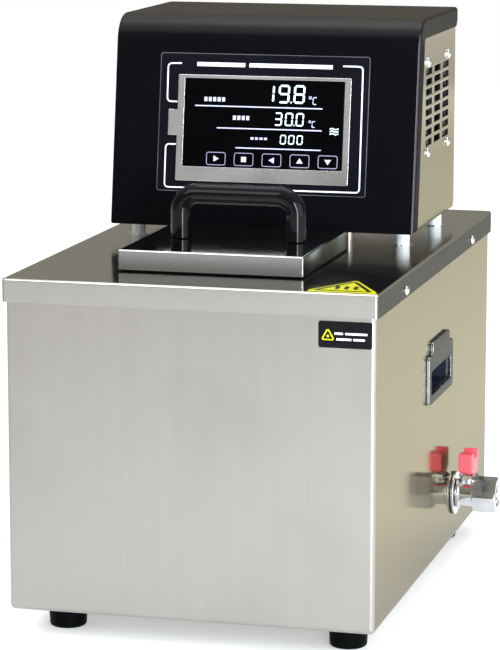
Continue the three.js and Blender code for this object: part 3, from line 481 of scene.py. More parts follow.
def rounded(corners, radius, steps=6, closed=True):
    """A polyline, flat or in space, with an arc at each corner. radius is one number, or one a corner."""
    points = [Vector(corner) for corner in corners]
    count = len(points)
    radii = radius if isinstance(radius, (list, tuple)) else [radius] * count
    line = []
    for i, here in enumerate(points):
        if radii[i] == 0 or (not closed and i in (0, count - 1)):
            line.append(here)
            continue
        before = points[i - 1] - here
        after = points[(i + 1) % count] - here
        half = before.angle(after) / 2
        reach = min(radii[i] / math.tan(half), 0.499 * before.length, 0.499 * after.length)
        centre = here + (before.normalized() + after.normalized()).normalized() * (reach / math.cos(half))
        start = here + before.normalized() * reach - centre
        end = here + after.normalized() * reach - centre
        sweep = start.angle(end)
        for k in range(steps + 1):
            t = k / steps
            arm = (start * math.sin((1 - t) * sweep) + end * math.sin(t * sweep)) / math.sin(sweep)
            line.append(centre + arm)
    return line


def rectangle(x0, x1, y0, y1, radius=0.0, steps=6):
    return rounded([(x0, y0), (x1, y0), (x1, y1), (x0, y1)], radius, steps)


def circle(x, y, radius, steps=32):
    turn = 2 * math.pi / steps
    return [Vector((x + radius * math.cos(i * turn), y + radius * math.sin(i * turn))) for i in range(steps)]


# ---------- solids ----------


def plate(loops, thickness, edge=0.3, steps=2):
    """A plate from z = 0 to z = thickness on closed outlines, the first the outside, its edges rounded."""
    curve = bpy.data.curves.new("outline", "CURVE")
    curve.dimensions = "2D"
    curve.fill_mode = "BOTH"
    curve.extrude = thickness / 2 - edge
    curve.bevel_depth = edge
    curve.bevel_resolution = steps
    curve.offset = -edge
    for loop in loops:
        spline = curve.splines.new("POLY")
        spline.points.add(len(loop) - 1)
        for point, corner in zip(spline.points, loop):
            point.co = (corner[0], corner[1], 0, 1)
        spline.use_cyclic_u = True
    holder = bpy.data.objects.new("outline", curve)
    bpy.context.scene.collection.objects.link(holder)
    mesh = bpy.data.meshes.new_from_object(holder.evaluated_get(bpy.context.evaluated_depsgraph_get()))
    bpy.data.objects.remove(holder)
    bm = bmesh.new()
    bm.from_mesh(mesh)
    bpy.data.meshes.remove(mesh)
    bmesh.ops.remove_doubles(bm, verts=bm.verts, dist=0.004)
    bmesh.ops.recalc_face_normals(bm, faces=bm.faces)
    bmesh.ops.translate(bm, verts=bm.verts, vec=(0, 0, thickness / 2))
    return bm


def join_rings(bm, rings, closed):
    pairs = list(zip(rings, rings[1:]))
    if closed:
        pairs.append((rings[-1], rings[0]))
    for first, second in pairs:
        count = max(len(first), len(second))
        for i in range(count):
            j = (i + 1) % count
            corners = [ring[k % len(ring)] for ring, k in ((first, i), (first, j), (second, j), (second, i))]
            face = list(dict.fromkeys(corners))
            if len(face) > 2:
                bm.faces.new(face)
    bmesh.ops.recalc_face_normals(bm, faces=bm.faces)


def turned(profile, segments=64):
    """A solid of revolution about Z from (radius, z) points, closed on itself unless it ends on the axis."""
    bm = bmesh.new()
    rings = []
    for radius, z in profile:
        if radius < 1e-6:
            rings.append([bm.verts.new((0, 0, z))])
        else:
            rings.append([bm.verts.new((p.x, p.y, z)) for p in circle(0, 0, radius, segments)])
    join_rings(bm, rings, closed=profile[0][0] > 1e-6)
    return bm


def rod(radius, low, high, edge=0.0, steps=3, segments=64):
    """An upright round bar, its rims rounded by edge."""
    corners = [(0, low), (radius, low), (radius, high), (0, high)]
    return turned(rounded(corners, [0, edge, edge, 0], steps), segments)


def sleeve(inner, outer, low, high, edge, steps=3, segments=64):
    """An upright round bar with a hole along it."""
    corners = [(inner, low), (outer, low), (outer, high), (inner, high)]
    return turned(rounded(corners, edge, steps), segments)


def folded(half_x, half_y, corner, section, capped=True, steps=6):
    """Sheet metal swept round a rounded rectangle. section holds (inset, z) points.

    capped closes the first and last ring with a flat face; otherwise the section closes on itself.
    """
    bm = bmesh.new()
    rings = []
    for inset, z in section:
        x, y = half_x - inset, half_y - inset
        plan = rectangle(-x, x, -y, y, max(corner - inset, 0.05), steps)
        rings.append([bm.verts.new((p.x, p.y, z)) for p in plan])
    join_rings(bm, rings, closed=not capped)
    if capped:
        bm.faces.new(rings[0])
        bm.faces.new(rings[-1])
        bmesh.ops.recalc_face_normals(bm, faces=bm.faces)
    return bm


def tube(corners, bend, radius, sides=28, steps=10):
    """A round bar through corner points, its corners bent to a radius and its ends slightly chamfered."""
    path = rounded(corners, bend, steps, closed=False)
    chamfer = min(0.6, radius / 4)
    first = (path[1] - path[0]).normalized()
    last = (path[-1] - path[-2]).normalized()
    path = [path[0], path[0] + first * chamfer, *path[1:-1], path[-1] - last * chamfer, path[-1]]
    radii = [radius - chamfer, *[radius] * (len(path) - 2), radius - chamfer]
    bm = bmesh.new()
    rings = []
    side = first.orthogonal().normalized()
    for i, point in enumerate(path):
        along = (path[min(i + 1, len(path) - 1)] - path[max(i - 1, 0)]).normalized()
        side = (side - along * side.dot(along)).normalized()
        other = along.cross(side)
        ring = []
        for k in range(sides):
            angle = 2 * math.pi * k / sides
            ring.append(bm.verts.new(point + radii[i] * (side * math.cos(angle) + other * math.sin(angle))))
        rings.append(ring)
    join_rings(bm, rings, closed=False)
    bm.faces.new(rings[0])
    bm.faces.new(rings[-1])
    bmesh.ops.recalc_face_normals(bm, faces=bm.faces)
    return bm


def moved(bm, matrix):
    bm.transform(matrix)
    return bm


def merged(*parts):
    """Several closed bodies in one mesh."""
    whole = bmesh.new()
    for part in parts:
        mesh = bpy.data.meshes.new("part")
        part.to_mesh(mesh)
        part.free()
        whole.from_mesh(mesh)
        bpy.data.meshes.remove(mesh)
    return whole


def boolean(bm, tools, operation="DIFFERENCE"):
    """Cuts the tools out of a body, or joins or crosses them with it."""
    objects = []
    for index, part in enumerate([bm, *tools]):
        mesh = bpy.data.meshes.new("boolean")
        part.to_mesh(mesh)
        part.free()
        obj = bpy.data.objects.new(f"boolean_{index}", mesh)
        bpy.context.scene.collection.objects.link(obj)
        objects.append(obj)
    for tool in objects[1:]:
        modifier = objects[0].modifiers.new("cut", "BOOLEAN")
        modifier.operation = operation
        modifier.solver = "EXACT"
        modifier.object = tool
    depsgraph = bpy.context.evaluated_depsgraph_get()
    result = bpy.data.meshes.new_from_object(objects[0].evaluated_get(depsgraph))
    for obj in objects:
        bpy.data.objects.remove(obj)
    out = bmesh.new()
    out.from_mesh(result)
    bpy.data.meshes.remove(result)
    bmesh.ops.remove_doubles(out, verts=out.verts, dist=0.002)
    return out


def hex_nut(radius, tall, cut, drop):
    """A hexagon whose upper corners are cut back by a cone."""
    cone = [(0, 0), (radius, 0), (radius, tall - drop), (radius - cut, tall), (0, tall)]
    return boolean(rod(radius, 0, tall, segments=6), [turned(cone, 72)], "INTERSECT")


def refined(node, width=0.5, angle=28):
    """A CAD node's own shape with its coplanar facets merged and its edges rounded."""
    bm = bmesh.new()
    bm.from_mesh(NODES[node].data)
    bm.transform(Matrix.Scale(1 / MM, 4))
    bmesh.ops.remove_doubles(bm, verts=bm.verts, dist=0.01)
    flat = math.radians(1)
    bmesh.ops.dissolve_limit(bm, angle_limit=flat, verts=bm.verts, edges=bm.edges)
    sharp = [e for e in bm.edges if e.is_manifold and e.calc_face_angle(0) > math.radians(angle)]
    bmesh.ops.bevel(bm, geom=sharp, offset=width, segments=2, profile=0.5, affect="EDGES", clamp_overlap=True)
    return bm


def piece(name, bm, finish, body="cabinet", stands_for=(), smooth=32):
    """Turns a body drawn in millimetres into an object that rides on a CAD body."""
    mesh = bpy.data.meshes.new(name)
    bm.transform(Matrix.Scale(MM, 4))
    bm.to_mesh(mesh)
    bm.free()
    mesh.shade_smooth()
    mesh.set_sharp_from_angle(angle=math.radians(smooth))
    mesh.materials.append(FINISH[finish])
    obj = bpy.data.objects.new(name, mesh)
    bpy.context.scene.collection.objects.link(obj)
    weights = obj.modifiers.new("flat faces first", "WEIGHTED_NORMAL")
    weights.keep_sharp = True
    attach(obj, body)
    if stands_for:
        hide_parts(*stands_for)
    return obj


def stand_in(node, bm, finish=None, smooth=32):
    """The finely built piece that stands for a CAD node, with its body and finish."""
    slot = SLOT_OF[node]
    return piece(node + "_fine", bm, finish or slot, NODES[node]["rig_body"], (node,), smooth)


def paint(obj, finish, chosen):
    """Gives the faces that pass a test another finish. The test takes a face's centre, in mm, and normal."""
    obj.data.materials.append(FINISH[finish])
    index = len(obj.data.materials) - 1
    for polygon in obj.data.polygons:
        if chosen(polygon.center / MM, polygon.normal):
            polygon.material_index = index


def at(x, y, z):
    return Matrix.Translation((x, y, z))


ALONG_X = Matrix(((0, 0, 1, 0), (1, 0, 0, 0), (0, 1, 0, 0), (0, 0, 0, 1)))  # local X, Y, Z to Y, Z, X
ALONG_MINUS_X = Matrix.Rotation(math.pi, 4, "Z") @ ALONG_X
ALONG_Y = Matrix(((-1, 0, 0, 0), (0, 0, 1, 0), (0, 1, 0, 0), (0, 0, 0, 1)))  # local X, Y, Z to -X, Z, Y
ALONG_MINUS_Y = Matrix.Rotation(math.pi / 2, 4, "X")  # local X, Y, Z to X, Z, -Y


# ---------- cabinet ----------

SHEET = 1.5  # thickness of the cabinet's and the head's sheet metal
DRAIN = middle("drain_washer")
SHELL_LOW, SHELL_HIGH = box("cabinet_shell")
PANEL_LOW, PANEL_HIGH = box("top_panel")
PANEL_BEND = 1.8  # outer radius where the top panel folds down
CENTRE = (PANEL_LOW + PANEL_HIGH) / 2
BATH_OPENING = (122, 124, 8)  # across, deep, corner radius
CUT = 8.0  # length of a cutter through one sheet
GRIP_RIM = 2.0  # how far a grip's cup reaches round its window
SHOULDER = 199.0  # height where a grip plate narrows
TAB = 33.0  # half its width above that
FLANGE_SCREWS = {"front": -131, "rear": 133}  # places along Y
FLANGE_SCREW_DROP = 12  # below the top of the panel


def screw(radius, height):
    """A pan head with a cross recess, its underside at z = 0."""
    corners = [(0, 0), (radius, 0), (radius, height * 0.45), (radius * 0.45, height), (0, height)]
    head = turned(rounded(corners, [0, 0.2, radius * 0.4, radius * 0.5, 0], 4, closed=False), 32)
    wide, narrow = radius * 0.52, radius * 0.11
    cross = [
        plate([rectangle(-x, x, -y, y, narrow * 0.6, 2)], height, 0.05)
        for x, y in ((wide, narrow), (narrow, wide))
    ]
    return boolean(head, [moved(slot, at(0, 0, height * 0.45)) for slot in cross])


def grip_window(side, y=0.0):
    """The finger window's outline in a side wall, seen from a place y further back."""
    low, high = box(f"grip_cup_{side}")
    return rectangle(low.y + GRIP_RIM - y, high.y - GRIP_RIM - y, low.z + GRIP_RIM, high.z - GRIP_RIM, 3)


def build_shell():
    half = (SHELL_HIGH - SHELL_LOW) / 2
    bottom, top = SHELL_LOW.z, SHELL_HIGH.z
    bend, lip, floor = 4.0, 12.0, bottom + SHEET
    corners = [(0, top), (0, bottom), (lip, bottom), (lip, floor), (SHEET, floor), (SHEET, top)]
    section = rounded(corners, [0.3, bend, 0.3, 0.3, bend - SHEET, 0.3], 5)
    shell = moved(folded(half.x, half.y, bend, section, capped=False), at(CENTRE.x, CENTRE.y, 0))
    cutters = []
    for side, wall in (("left", SHELL_LOW.x), ("right", SHELL_HIGH.x)):
        cutters.append(moved(plate([grip_window(side)], CUT), at(wall - CUT / 2, 0, 0) @ ALONG_X))
    drain = at(SHELL_HIGH.x - CUT / 2, DRAIN.y, DRAIN.z) @ ALONG_X
    cutters.append(moved(plate([circle(0, 0, 9)], CUT), drain))
    shell = stand_in("cabinet_shell", boolean(shell, cutters))
    # the side walls take painted reflections: warm above, a cool dark band near the bench
    paint(shell, "brushed_side", lambda centre, normal: abs(normal.x) > 0.97)

    inset = lip + 0.4
    x, y = half.x - inset, half.y - inset
    base = plate([rectangle(-x, x, -y, y, 2)], SHEET, 0.25)
    stand_in("base_plate", moved(base, at(CENTRE.x, CENTRE.y, bottom)))


def service_holes(height):
    """Cutters where pump, heater, probe and pipes pass through the top panel."""
    pump, probe = middle("pump_column"), middle("temperature_probe")
    coil_low, coil_high = box("heating_coil")
    outlet, back = box("outlet_pipe")[0], box("return_pipe")[0]
    holes = [  # x, y and radius
        (pump.x, pump.y, 15),
        (probe.x, probe.y, 4),
        (coil_low.x + COIL_BAR, coil_low.y + COIL_BAR, 5),
        (coil_high.x - COIL_BAR, coil_low.y + COIL_BAR, 5),
        (outlet.x + PIPE, pump.y, 7),
        (middle("return_pipe").x, back.y + PIPE, 7),
    ]
    return [moved(plate([circle(0, 0, radius)], CUT), at(x, y, height)) for x, y, radius in holes]


def build_top_panel():
    half = (PANEL_HIGH - PANEL_LOW) / 2
    top, bottom = PANEL_HIGH.z, PANEL_LOW.z
    inner, flat = top - SHEET, 20
    corners = [(flat, top), (0, top), (0, bottom), (SHEET, bottom), (SHEET, inner), (flat, inner)]
    section = rounded(corners, [0, PANEL_BEND, 0.3, 0.3, PANEL_BEND - SHEET, 0], 6, closed=False)
    panel = moved(folded(half.x, half.y, 3.0, section), at(CENTRE.x, CENTRE.y, 0))
    lid = middle("tank_lid")
    x, y, corner = BATH_OPENING
    opening = plate([rectangle(-x / 2, x / 2, -y / 2, y / 2, corner)], 10)
    cutters = [moved(opening, at(lid.x, lid.y, top - 5)), *service_holes(top - CUT / 2)]
    panel = stand_in("top_panel", boolean(panel, cutters))
    edge = top - PANEL_BEND * 0.8
    paint(panel, "flange_front", lambda centre, normal: normal.y < -0.6 and centre.z < edge)
    # the side flanges take a painted shade, a darker copy of the front flange's steel
    paint(panel, "flange_side_shade", lambda centre, normal: abs(normal.x) > 0.6 and centre.z < edge)

    # the left grip is the outermost thing on its side, so the screws there are nearly flush
    for side, outward, turn, proud in (("left", -1, ALONG_MINUS_X, 0.55), ("right", 1, ALONG_X, 2.6)):
        x = CENTRE.x + outward * (half.x + 0.02)
        for end, y in FLANGE_SCREWS.items():
            head = moved(screw(3.6, proud), at(x, y, top - FLANGE_SCREW_DROP) @ turn)
            piece(f"flange_screw_{side}_{end}", head, "screw_zinc")


def build_feet():
    hole, deep, taper = 3.2, 5.0, 1.3  # the screw hole's radius and depth, and the foot's slope
    for end in ("front", "rear"):
        for side in ("left", "right"):
            node = f"foot_{end}_{side}"
            low, high = box(node)
            tall, wide = high.z - low.z, (high.x - low.x) / 2
            corners = [(hole, 0), (wide - taper, 0), (wide, tall), (0, tall), (0, deep), (hole, deep)]
            profile = rounded(corners, [0.4, 2.4, 0.8, 0, 0, 0.3], 5)
            centre = middle(node)
            stand_in(node, moved(turned(profile), at(centre.x, centre.y, low.z)))


def build_grips():
    for side, turn in (("right", ALONG_X), ("left", ALONG_MINUS_X)):
        low, high = box(f"grip_plate_{side}")
        y = (low.y + high.y) / 2
        half = (high.y - low.y) / 2
        outline = [(-half, low.z), (half, low.z), (half, SHOULDER), (TAB, SHOULDER), (TAB, high.z),
                   (-TAB, high.z), (-TAB, SHOULDER), (-half, SHOULDER)]
        outline = rounded(outline, [4, 4, 4, 4, 3.5, 3.5, 4, 4], 5)
        face = plate([outline, grip_window(side, y)], high.x - low.x, 0.35)
        start = low.x if side == "right" else high.x
        grip = stand_in(f"grip_plate_{side}", moved(face, at(start, y, 0) @ turn))
        paint(grip, "cut_edge", lambda centre, normal: abs(normal.x) < 0.8)

        low, high = box(f"grip_cup_{side}")
        depth, wall, flat = high.x - low.x, 1.2, 6
        floor = wall - depth
        corners = [(flat, -depth), (0, -depth), (0, 0), (wall, 0), (wall, floor), (flat, floor)]
        section = rounded(corners, [0, 2, 0.2, 0.2, 2, 0], 4, closed=False)
        cup = folded((high.y - low.y) / 2, (high.z - low.z) / 2, 4.5, section)
        start = high.x if side == "right" else low.x
        place = at(start, y, (low.z + high.z) / 2) @ turn
        stand_in(f"grip_cup_{side}", moved(cup, place), "recess_plastic")


# ---------- lid ----------

SEAM = 0.34  # width of the folded corner's seam in the front skirt
SEAM_INSET = 1.6  # from the lid's side


def build_lid():
    low, high = box("tank_lid")
    half = (high - low) / 2
    centre = (low + high) / 2
    sheet, flat = 1.2, 8
    inner = high.z - sheet
    corners = [(flat, high.z), (0, high.z), (0, low.z), (sheet, low.z), (sheet, inner), (flat, inner)]
    section = rounded(corners, [0, 1.2, 0.25, 0.25, 0.3, 0], 6, closed=False)
    tray = moved(folded(half.x, half.y, 0.9, section), at(centre.x, centre.y, 0))
    seams = []
    for x in (low.x + SEAM_INSET, high.x - SEAM_INSET):
        groove = plate([rectangle(-SEAM / 2, SEAM / 2, low.z - 1, high.z - 1.2)], 1.6, 0.02)
        seams.append(moved(groove, at(x, low.y + 0.5, 0) @ ALONG_MINUS_Y))
    lid = stand_in("tank_lid", boolean(tray, seams))
    paint(lid, "lid_skirt", lambda centre, normal: normal.y < -0.6 and centre.z < high.z - 1)


def build_handle():
    low, high = box("lid_handle")
    radius = (high.y - low.y) / 2
    y = (low.y + high.y) / 2
    left, right, top = low.x + radius, high.x - radius, high.z - radius
    path = [(left, y, low.z), (left, y, top), (right, y, top), (right, y, low.z)]
    stand_in("lid_handle", tube(path, 14, radius, 40, 14))


# ---------- drain valve ----------

HEXAGON = 20.0  # length of the hexagon end
BARREL, COLLAR, MOUTH = 10.6, 12.2, 8.6  # radii
PITCH = 1.4  # of the thread in the mouth


def build_valve_body(stem):
    """A round barrel with a collar, a hexagon end with a threaded mouth, and the stem's neck."""
    low, high = box("valve_body")
    length = high.x - low.x
    across = (high.y - low.y) / 2
    start = length - HEXAGON
    corners = [(0, 0), (COLLAR, 0), (COLLAR, 2.2), (BARREL, 3), (BARREL, start + 1), (0, start + 1)]
    barrel = turned(rounded(corners, [0, 0.5, 0.6, 0.5, 0, 0], 3), 72)
    cone = [(0, start), (across - 2.0, start), (across + 0.2, start + 1.8), (across + 0.2, length - 1.8),
            (across - 2.2, length), (0, length)]
    nut = boolean(rod(across, start, length, segments=6), [turned(cone, 96)], "INTERSECT")
    thread = [(0, length - 14), (MOUTH, length - 14)]
    for i in range(8):
        z = length - 13 + i * PITCH
        thread += [(MOUTH, z), (MOUTH + 0.7, z + 0.4 * PITCH), (MOUTH, z + 0.8 * PITCH)]
    thread += [(MOUTH + 0.2, length - 1.2), (MOUTH + 1.6, length + 0.4), (0, length + 0.4)]
    body = boolean(barrel, [nut], "UNION")
    body = boolean(body, [rod(5, -1, length), turned(thread)])
    body = moved(body, at(low.x, DRAIN.y, DRAIN.z) @ ALONG_X)
    neck = moved(sleeve(3.3, 7, DRAIN.z + 9, high.z - 0.2, 0.4, 3, 48), at(stem.x, stem.y, 0))
    stand_in("valve_body", merged(body, neck), smooth=28)


def build_valve():
    low, high = box("drain_washer")
    washer = sleeve(6, (high.z - low.z) / 2, 0, high.x - low.x, 0.5, 3, 72)
    stand_in("drain_washer", moved(washer, at(low.x, DRAIN.y, DRAIN.z) @ ALONG_X))
    stem = middle("valve_stem")
    build_valve_body(stem)

    low, high = box("valve_bonnet_nut")
    nut = boolean(hex_nut((high.x - low.x) / 2, high.z - low.z, 1.4, 0.9), [rod(7.4, -1, 4)])
    stand_in("valve_bonnet_nut", moved(nut, at(stem.x, stem.y, low.z)), smooth=28)

    low, high = box("valve_stem")
    stand_in("valve_stem", moved(rod(2.8, low.z, high.z, 0.3, 3, 32), at(stem.x, stem.y, 0)))

    low, high = box("valve_ball")
    radius = (high.z - low.z) / 2
    angles = [math.pi * (i / 24 - 0.5) for i in range(1, 24)]
    arc = [(radius * math.cos(angle), radius * math.sin(angle)) for angle in angles]
    ball = turned([(0, -radius), *arc, (0, radius)], 48)
    bore = moved(rod(4.5, -10, 10), ALONG_MINUS_Y)
    stand_in("valve_ball", moved(boolean(ball, [bore]), at(*middle("valve_ball"))))
    build_lever(stem)


def build_lever(stem):
    """A moulded butterfly lever: two ribbed wings over a round boss, held by a screw."""
    low, high = box("drain_lever")
    front, rear = low.y - stem.y, high.y - stem.y
    bottom, top = low.z, high.z
    thick = high.x - low.x
    wings = [(front, top - 0.5), (front, bottom + 5), (-6, bottom), (6, bottom), (rear, bottom + 4),
             (rear, top - 0.5), (7, top), (4, top - 6), (-4, top - 6), (-9, top)]
    blade = plate([rounded(wings, [2, 2, 2, 2, 2, 2, 1.5, 2.5, 2.5, 1.5], 4)], thick, 1.0, 3)
    blade = moved(blade, at(-thick / 2, 0, 0) @ ALONG_X)
    grooves = []
    for side in (-1, 1):
        for y in (front + 4, front + 7.5, rear - 3.2):
            groove = plate([rectangle(-0.55, 0.55, bottom + 6, top - 2.5, 0.5, 3)], 1.2, 0.2)
            grooves.append(moved(groove, at(side * thick / 2 - 0.6, y, 0) @ ALONG_X))
    corners = [(0, bottom), (5.6, bottom), (5.2, bottom + 9), (0, bottom + 9)]
    boss = turned(rounded(corners, [0, 0.6, 1, 0], 4), 48)
    lever = boolean(boolean(blade, grooves), [boss], "UNION")
    stand_in("drain_lever", moved(lever, at(stem.x, stem.y, 0)))
    head = moved(screw(2.9, 2.0), at(stem.x, stem.y, top - 6.1))
    piece("lever_screw", head, "screw_zinc", "valve_spindle")


# ---------- control head ----------

HEAD_LOW, HEAD_HIGH = box("head_cover")
TILT = math.radians(8.5)  # of the sloped front, from upright
HEAD_BEND = 23.0  # outer radius between the sloped front and the top
LIP = 16.0  # height of the cover's side lips
VENT_Y, VENT_Z = 84.5, 388.0  # middle of the vent
SLOT_LONG, SLOT_TALL = 25.0, 5.2
COLUMN_PITCH, ROW_PITCH = 34.0, 8.2
FACE = at(CENTRE.x, HEAD_LOW.y, HEAD_LOW.z) @ Matrix.Rotation(math.pi / 2 - TILT, 4, "X")


def front_at(z, inset=0.0):
    """Where the head's sloped front is at a height, moved in by an inset."""
    return HEAD_LOW.y + inset / math.cos(TILT) + (z - HEAD_LOW.z) * math.tan(TILT)


def build_head_cover():
    bottom, top, rear = HEAD_LOW.z, HEAD_HIGH.z, HEAD_HIGH.y
    width = HEAD_HIGH.x - HEAD_LOW.x
    corners = [(front_at(bottom), bottom), (front_at(top), top), (rear, top), (rear, bottom)]
    outer = plate([rounded(corners, [0, HEAD_BEND, 4, 0], 14)], width, 2.6, 5)
    under = bottom - 10
    ceiling, back = top - SHEET, rear - SHEET
    corners = [(front_at(under, SHEET), under), (front_at(ceiling, SHEET), ceiling),
               (back, ceiling), (back, under)]
    inner = plate([rounded(corners, [0, HEAD_BEND - SHEET, 2.5, 0], 14)], width - 2 * SHEET, 0.6)
    edge, beyond = top - LIP, rear + 20
    opening = [(front_at(under, LIP), under), (front_at(edge, LIP), edge), (rear - 7, edge), (rear, edge + 7),
               (beyond, edge + 7), (beyond, under)]
    window = plate([rounded(opening, [0, 4, 3, 0, 0, 0], 5)], width + 40, 0.05)
    x = HEAD_LOW.x
    cutters = [moved(inner, at(x + SHEET, 0, 0) @ ALONG_X), moved(window, at(x - 20, 0, 0) @ ALONG_X)]
    cover = stand_in("head_cover", boolean(moved(outer, at(x, 0, 0) @ ALONG_X), cutters))

    # faces of the right front bend, which take a painted highlight
    def right_bend_highlight_faces(centre, normal):
        return 0.15 < normal.x < 0.8 and normal.y < -0.2 and centre.z < top - 12

    paint(cover, "head_edge_highlight", right_bend_highlight_faces)
    # the right lip's faces take a painted brown-grey reflection
    paint(cover, "head_lip_reflection", lambda centre, normal: normal.x > 0.8 and centre.z > edge - 3)


def vent_slots():
    """Outlines of three columns of eight slots."""
    long, tall = SLOT_LONG / 2, SLOT_TALL / 2
    slots = []
    for y in (VENT_Y - COLUMN_PITCH, VENT_Y, VENT_Y + COLUMN_PITCH):
        for row in range(8):
            z = VENT_Z + (row - 3.5) * ROW_PITCH
            slots.append(rectangle(y - long, y + long, z - tall, z + tall, 0.9, 3))
    return slots


def build_head_panels():
    inset = 1.8
    rear, top, bottom = HEAD_HIGH.y - inset, HEAD_HIGH.z - inset, HEAD_LOW.z
    corners = [(front_at(bottom, inset), bottom), (front_at(top, inset), top), (rear, top), (rear, bottom)]
    outline = rounded(corners, [0.5, HEAD_BEND - inset, 2.2, 5], 10)
    screws = [middle(f"vent_screw_{i}") for i in range(1, 5)]
    for side in ("left", "right"):
        node = f"head_side_panel_{side}"
        loops = [outline, *vent_slots()]
        if side == "right":
            loops += [circle(place.y, place.z, 2.3, 24) for place in screws]
        panel = moved(plate(loops, SHEET, 0.25, 1), at(box(node)[0].x, 0, 0) @ ALONG_X)
        # the head's sides take painted reflections, brighter high up
        panel = stand_in(node, panel, "head_side")
        # painted shade on the vent slots' walls
        paint(panel, "slot_edge_shade", lambda centre, normal: abs(normal.x) < 0.5)
    x = box("head_side_panel_right")[1].x + 0.02
    for index, place in enumerate(screws, 1):
        stand_in(f"vent_screw_{index}", moved(screw(4.0, 2.7), at(x, place.y, place.z) @ ALONG_X))


def build_back_panel():
    low, high = box("head_back_panel")
    inlet_low, inlet_high = box("power_inlet")
    loops = [rectangle(low.x, high.x, low.z, high.z, 1.5)]
    for node in ("outlet_fitting", "return_fitting"):
        place = middle(node)
        loops.append(circle(place.x, place.z, 7))
    rim = 3
    loops.append(rectangle(inlet_low.x + rim, inlet_high.x - rim, inlet_low.z + rim, inlet_high.z - rim, 2))
    back = plate(loops, SHEET, 0.25)
    stand_in("head_back_panel", moved(back, at(0, high.y, 0) @ ALONG_MINUS_Y))
    for i, x in enumerate((low.x + 9, (low.x + high.x) / 2, high.x - 9)):
        for j, z in enumerate((low.z + 10, high.z - 14)):
            head = moved(screw(3.4, 2.2), at(x, high.y + 0.02, z) @ ALONG_Y)
            piece(f"back_screw_{i}_{j}", head, "screw_zinc")


def build_standoffs():
    for end in ("front", "rear"):
        for side in ("left", "right"):
            node = f"standoff_{end}_{side}"
            low, high = box(node)
            centre, radius = middle(node), (high.x - low.x) / 2
            stand_in(node, moved(rod(radius, low.z, high.z, 0.5), at(centre.x, centre.y, 0)))
            washer = moved(sleeve(radius + 0.3, 8.2, 0, 0.6, 0.15, 2), at(centre.x, centre.y, low.z - 0.28))
            piece(f"standoff_washer_{end}_{side}", washer, "screw_zinc")


# ---------- display ----------

FILM_TOP = 0.8  # the film's and the glass's faces, above the head's sloped front
GLASS_TOP = 1.9
FILM = (-87.7, 85.9, 28.1, 139.9)  # left, right, low and high, up the sloped front from its lower edge
BEZEL = (-72.0, 71.2, 36.8, 122.5)
BEZEL_TAB = (-79.5, 73.3, 94.2)  # left, low and high
GLASS = (-66.3, 65.9, 48.6, 119.6)
READINGS = (  # text, right end, level, width and height of a digit, width of a stroke, gap
    ("19.8", 33.4, 101.2, 9.3, 14.8, 1.65, 3.3),
    ("30.0", 33.2, 83.1, 6.6, 10.7, 1.2, 2.3),
    ("000", 33.0, 68.4, 5.0, 7.6, 0.9, 1.9),
)
SEGMENTS = {"0": "abcdef", "1": "bc", "3": "abcdg", "8": "abcdefg", "9": "abcdfg", "C": "adef"}
SEGMENT_ENDS = {  # in shares of a digit's width and height
    "a": ((0, 1), (1, 1)), "b": ((1, 0.5), (1, 1)), "c": ((1, 0), (1, 0.5)), "d": ((0, 0), (1, 0)),
    "e": ((0, 0), (0, 0.5)), "f": ((0, 0.5), (0, 1)), "g": ((0, 0.5), (1, 0.5)),
}


def slab(corners, z, thickness=0.06):
    """A thin prism on a convex outline."""
    bm = bmesh.new()
    rings = [[bm.verts.new((x, y, level)) for x, y in corners] for level in (z, z + thickness)]
    join_rings(bm, rings, closed=False)
    bm.faces.new(rings[0])
    bm.faces.new(rings[1])
    bmesh.ops.recalc_face_normals(bm, faces=bm.faces)
    return bm


def strip(line, width, z, thickness=0.06, closed=False):
    """A printed or lit line of even width along a flat polyline."""
    line = [Vector(point) for point in line]
    count = len(line)
    bm = bmesh.new()
    rings = []
    for i, here in enumerate(line):
        before = line[i - 1] if closed or i else here
        after = line[(i + 1) % count] if closed or i < count - 1 else here
        inward, outward = (here - before), (after - here)
        inward = inward.normalized() if inward.length else outward.normalized()
        outward = outward.normalized() if outward.length else inward
        along = (inward + outward).normalized()
        normal = Vector((-along.y, along.x)) * (width / 2 / max(along.dot(outward), 0.5))
        left, right = here + normal, here - normal
        top = z + thickness
        rings.append([bm.verts.new(p) for p in ((*left, z), (*right, z), (*right, top), (*left, top))])
    join_rings(bm, rings, closed)
    if not closed:
        bm.faces.new(rings[0])
        bm.faces.new(rings[-1])
        bmesh.ops.recalc_face_normals(bm, faces=bm.faces)
    return bm


def bar(start, end, width, z):
    """One pointed segment of a digit."""
    start, end = Vector(start), Vector(end)
    along = (end - start).normalized()
    across = Vector((-along.y, along.x)) * (width / 2)
    tip = along * (width / 2)
    gap = along * (width * 0.12)
    first, last = start + gap, end - gap
    near, far = first + tip, last - tip
    return slab([first, near + across, far + across, last, far - across, near - across], z)


def digit(sign, x, y, wide, tall, width, z):
    """A seven-segment sign with its lower left corner at (x, y), leaning slightly."""
    lean, inset = 0.04, width / 2

    def spot(u, v):
        return (x + inset + u * (wide - width) + lean * v * tall, y + inset + v * (tall - width))

    strokes = [SEGMENT_ENDS[name] for name in SEGMENTS[sign]]
    return [bar(spot(*start), spot(*end), width, z) for start, end in strokes]


def degree_mark(x, y, size, z):
    ring = strip(circle(x + size * 0.15, y + size * 0.9, size * 0.16, 14), size * 0.09, z, closed=True)
    return [ring, *digit("C", x + size * 0.45, y, size * 0.6, size, size * 0.12, z)]


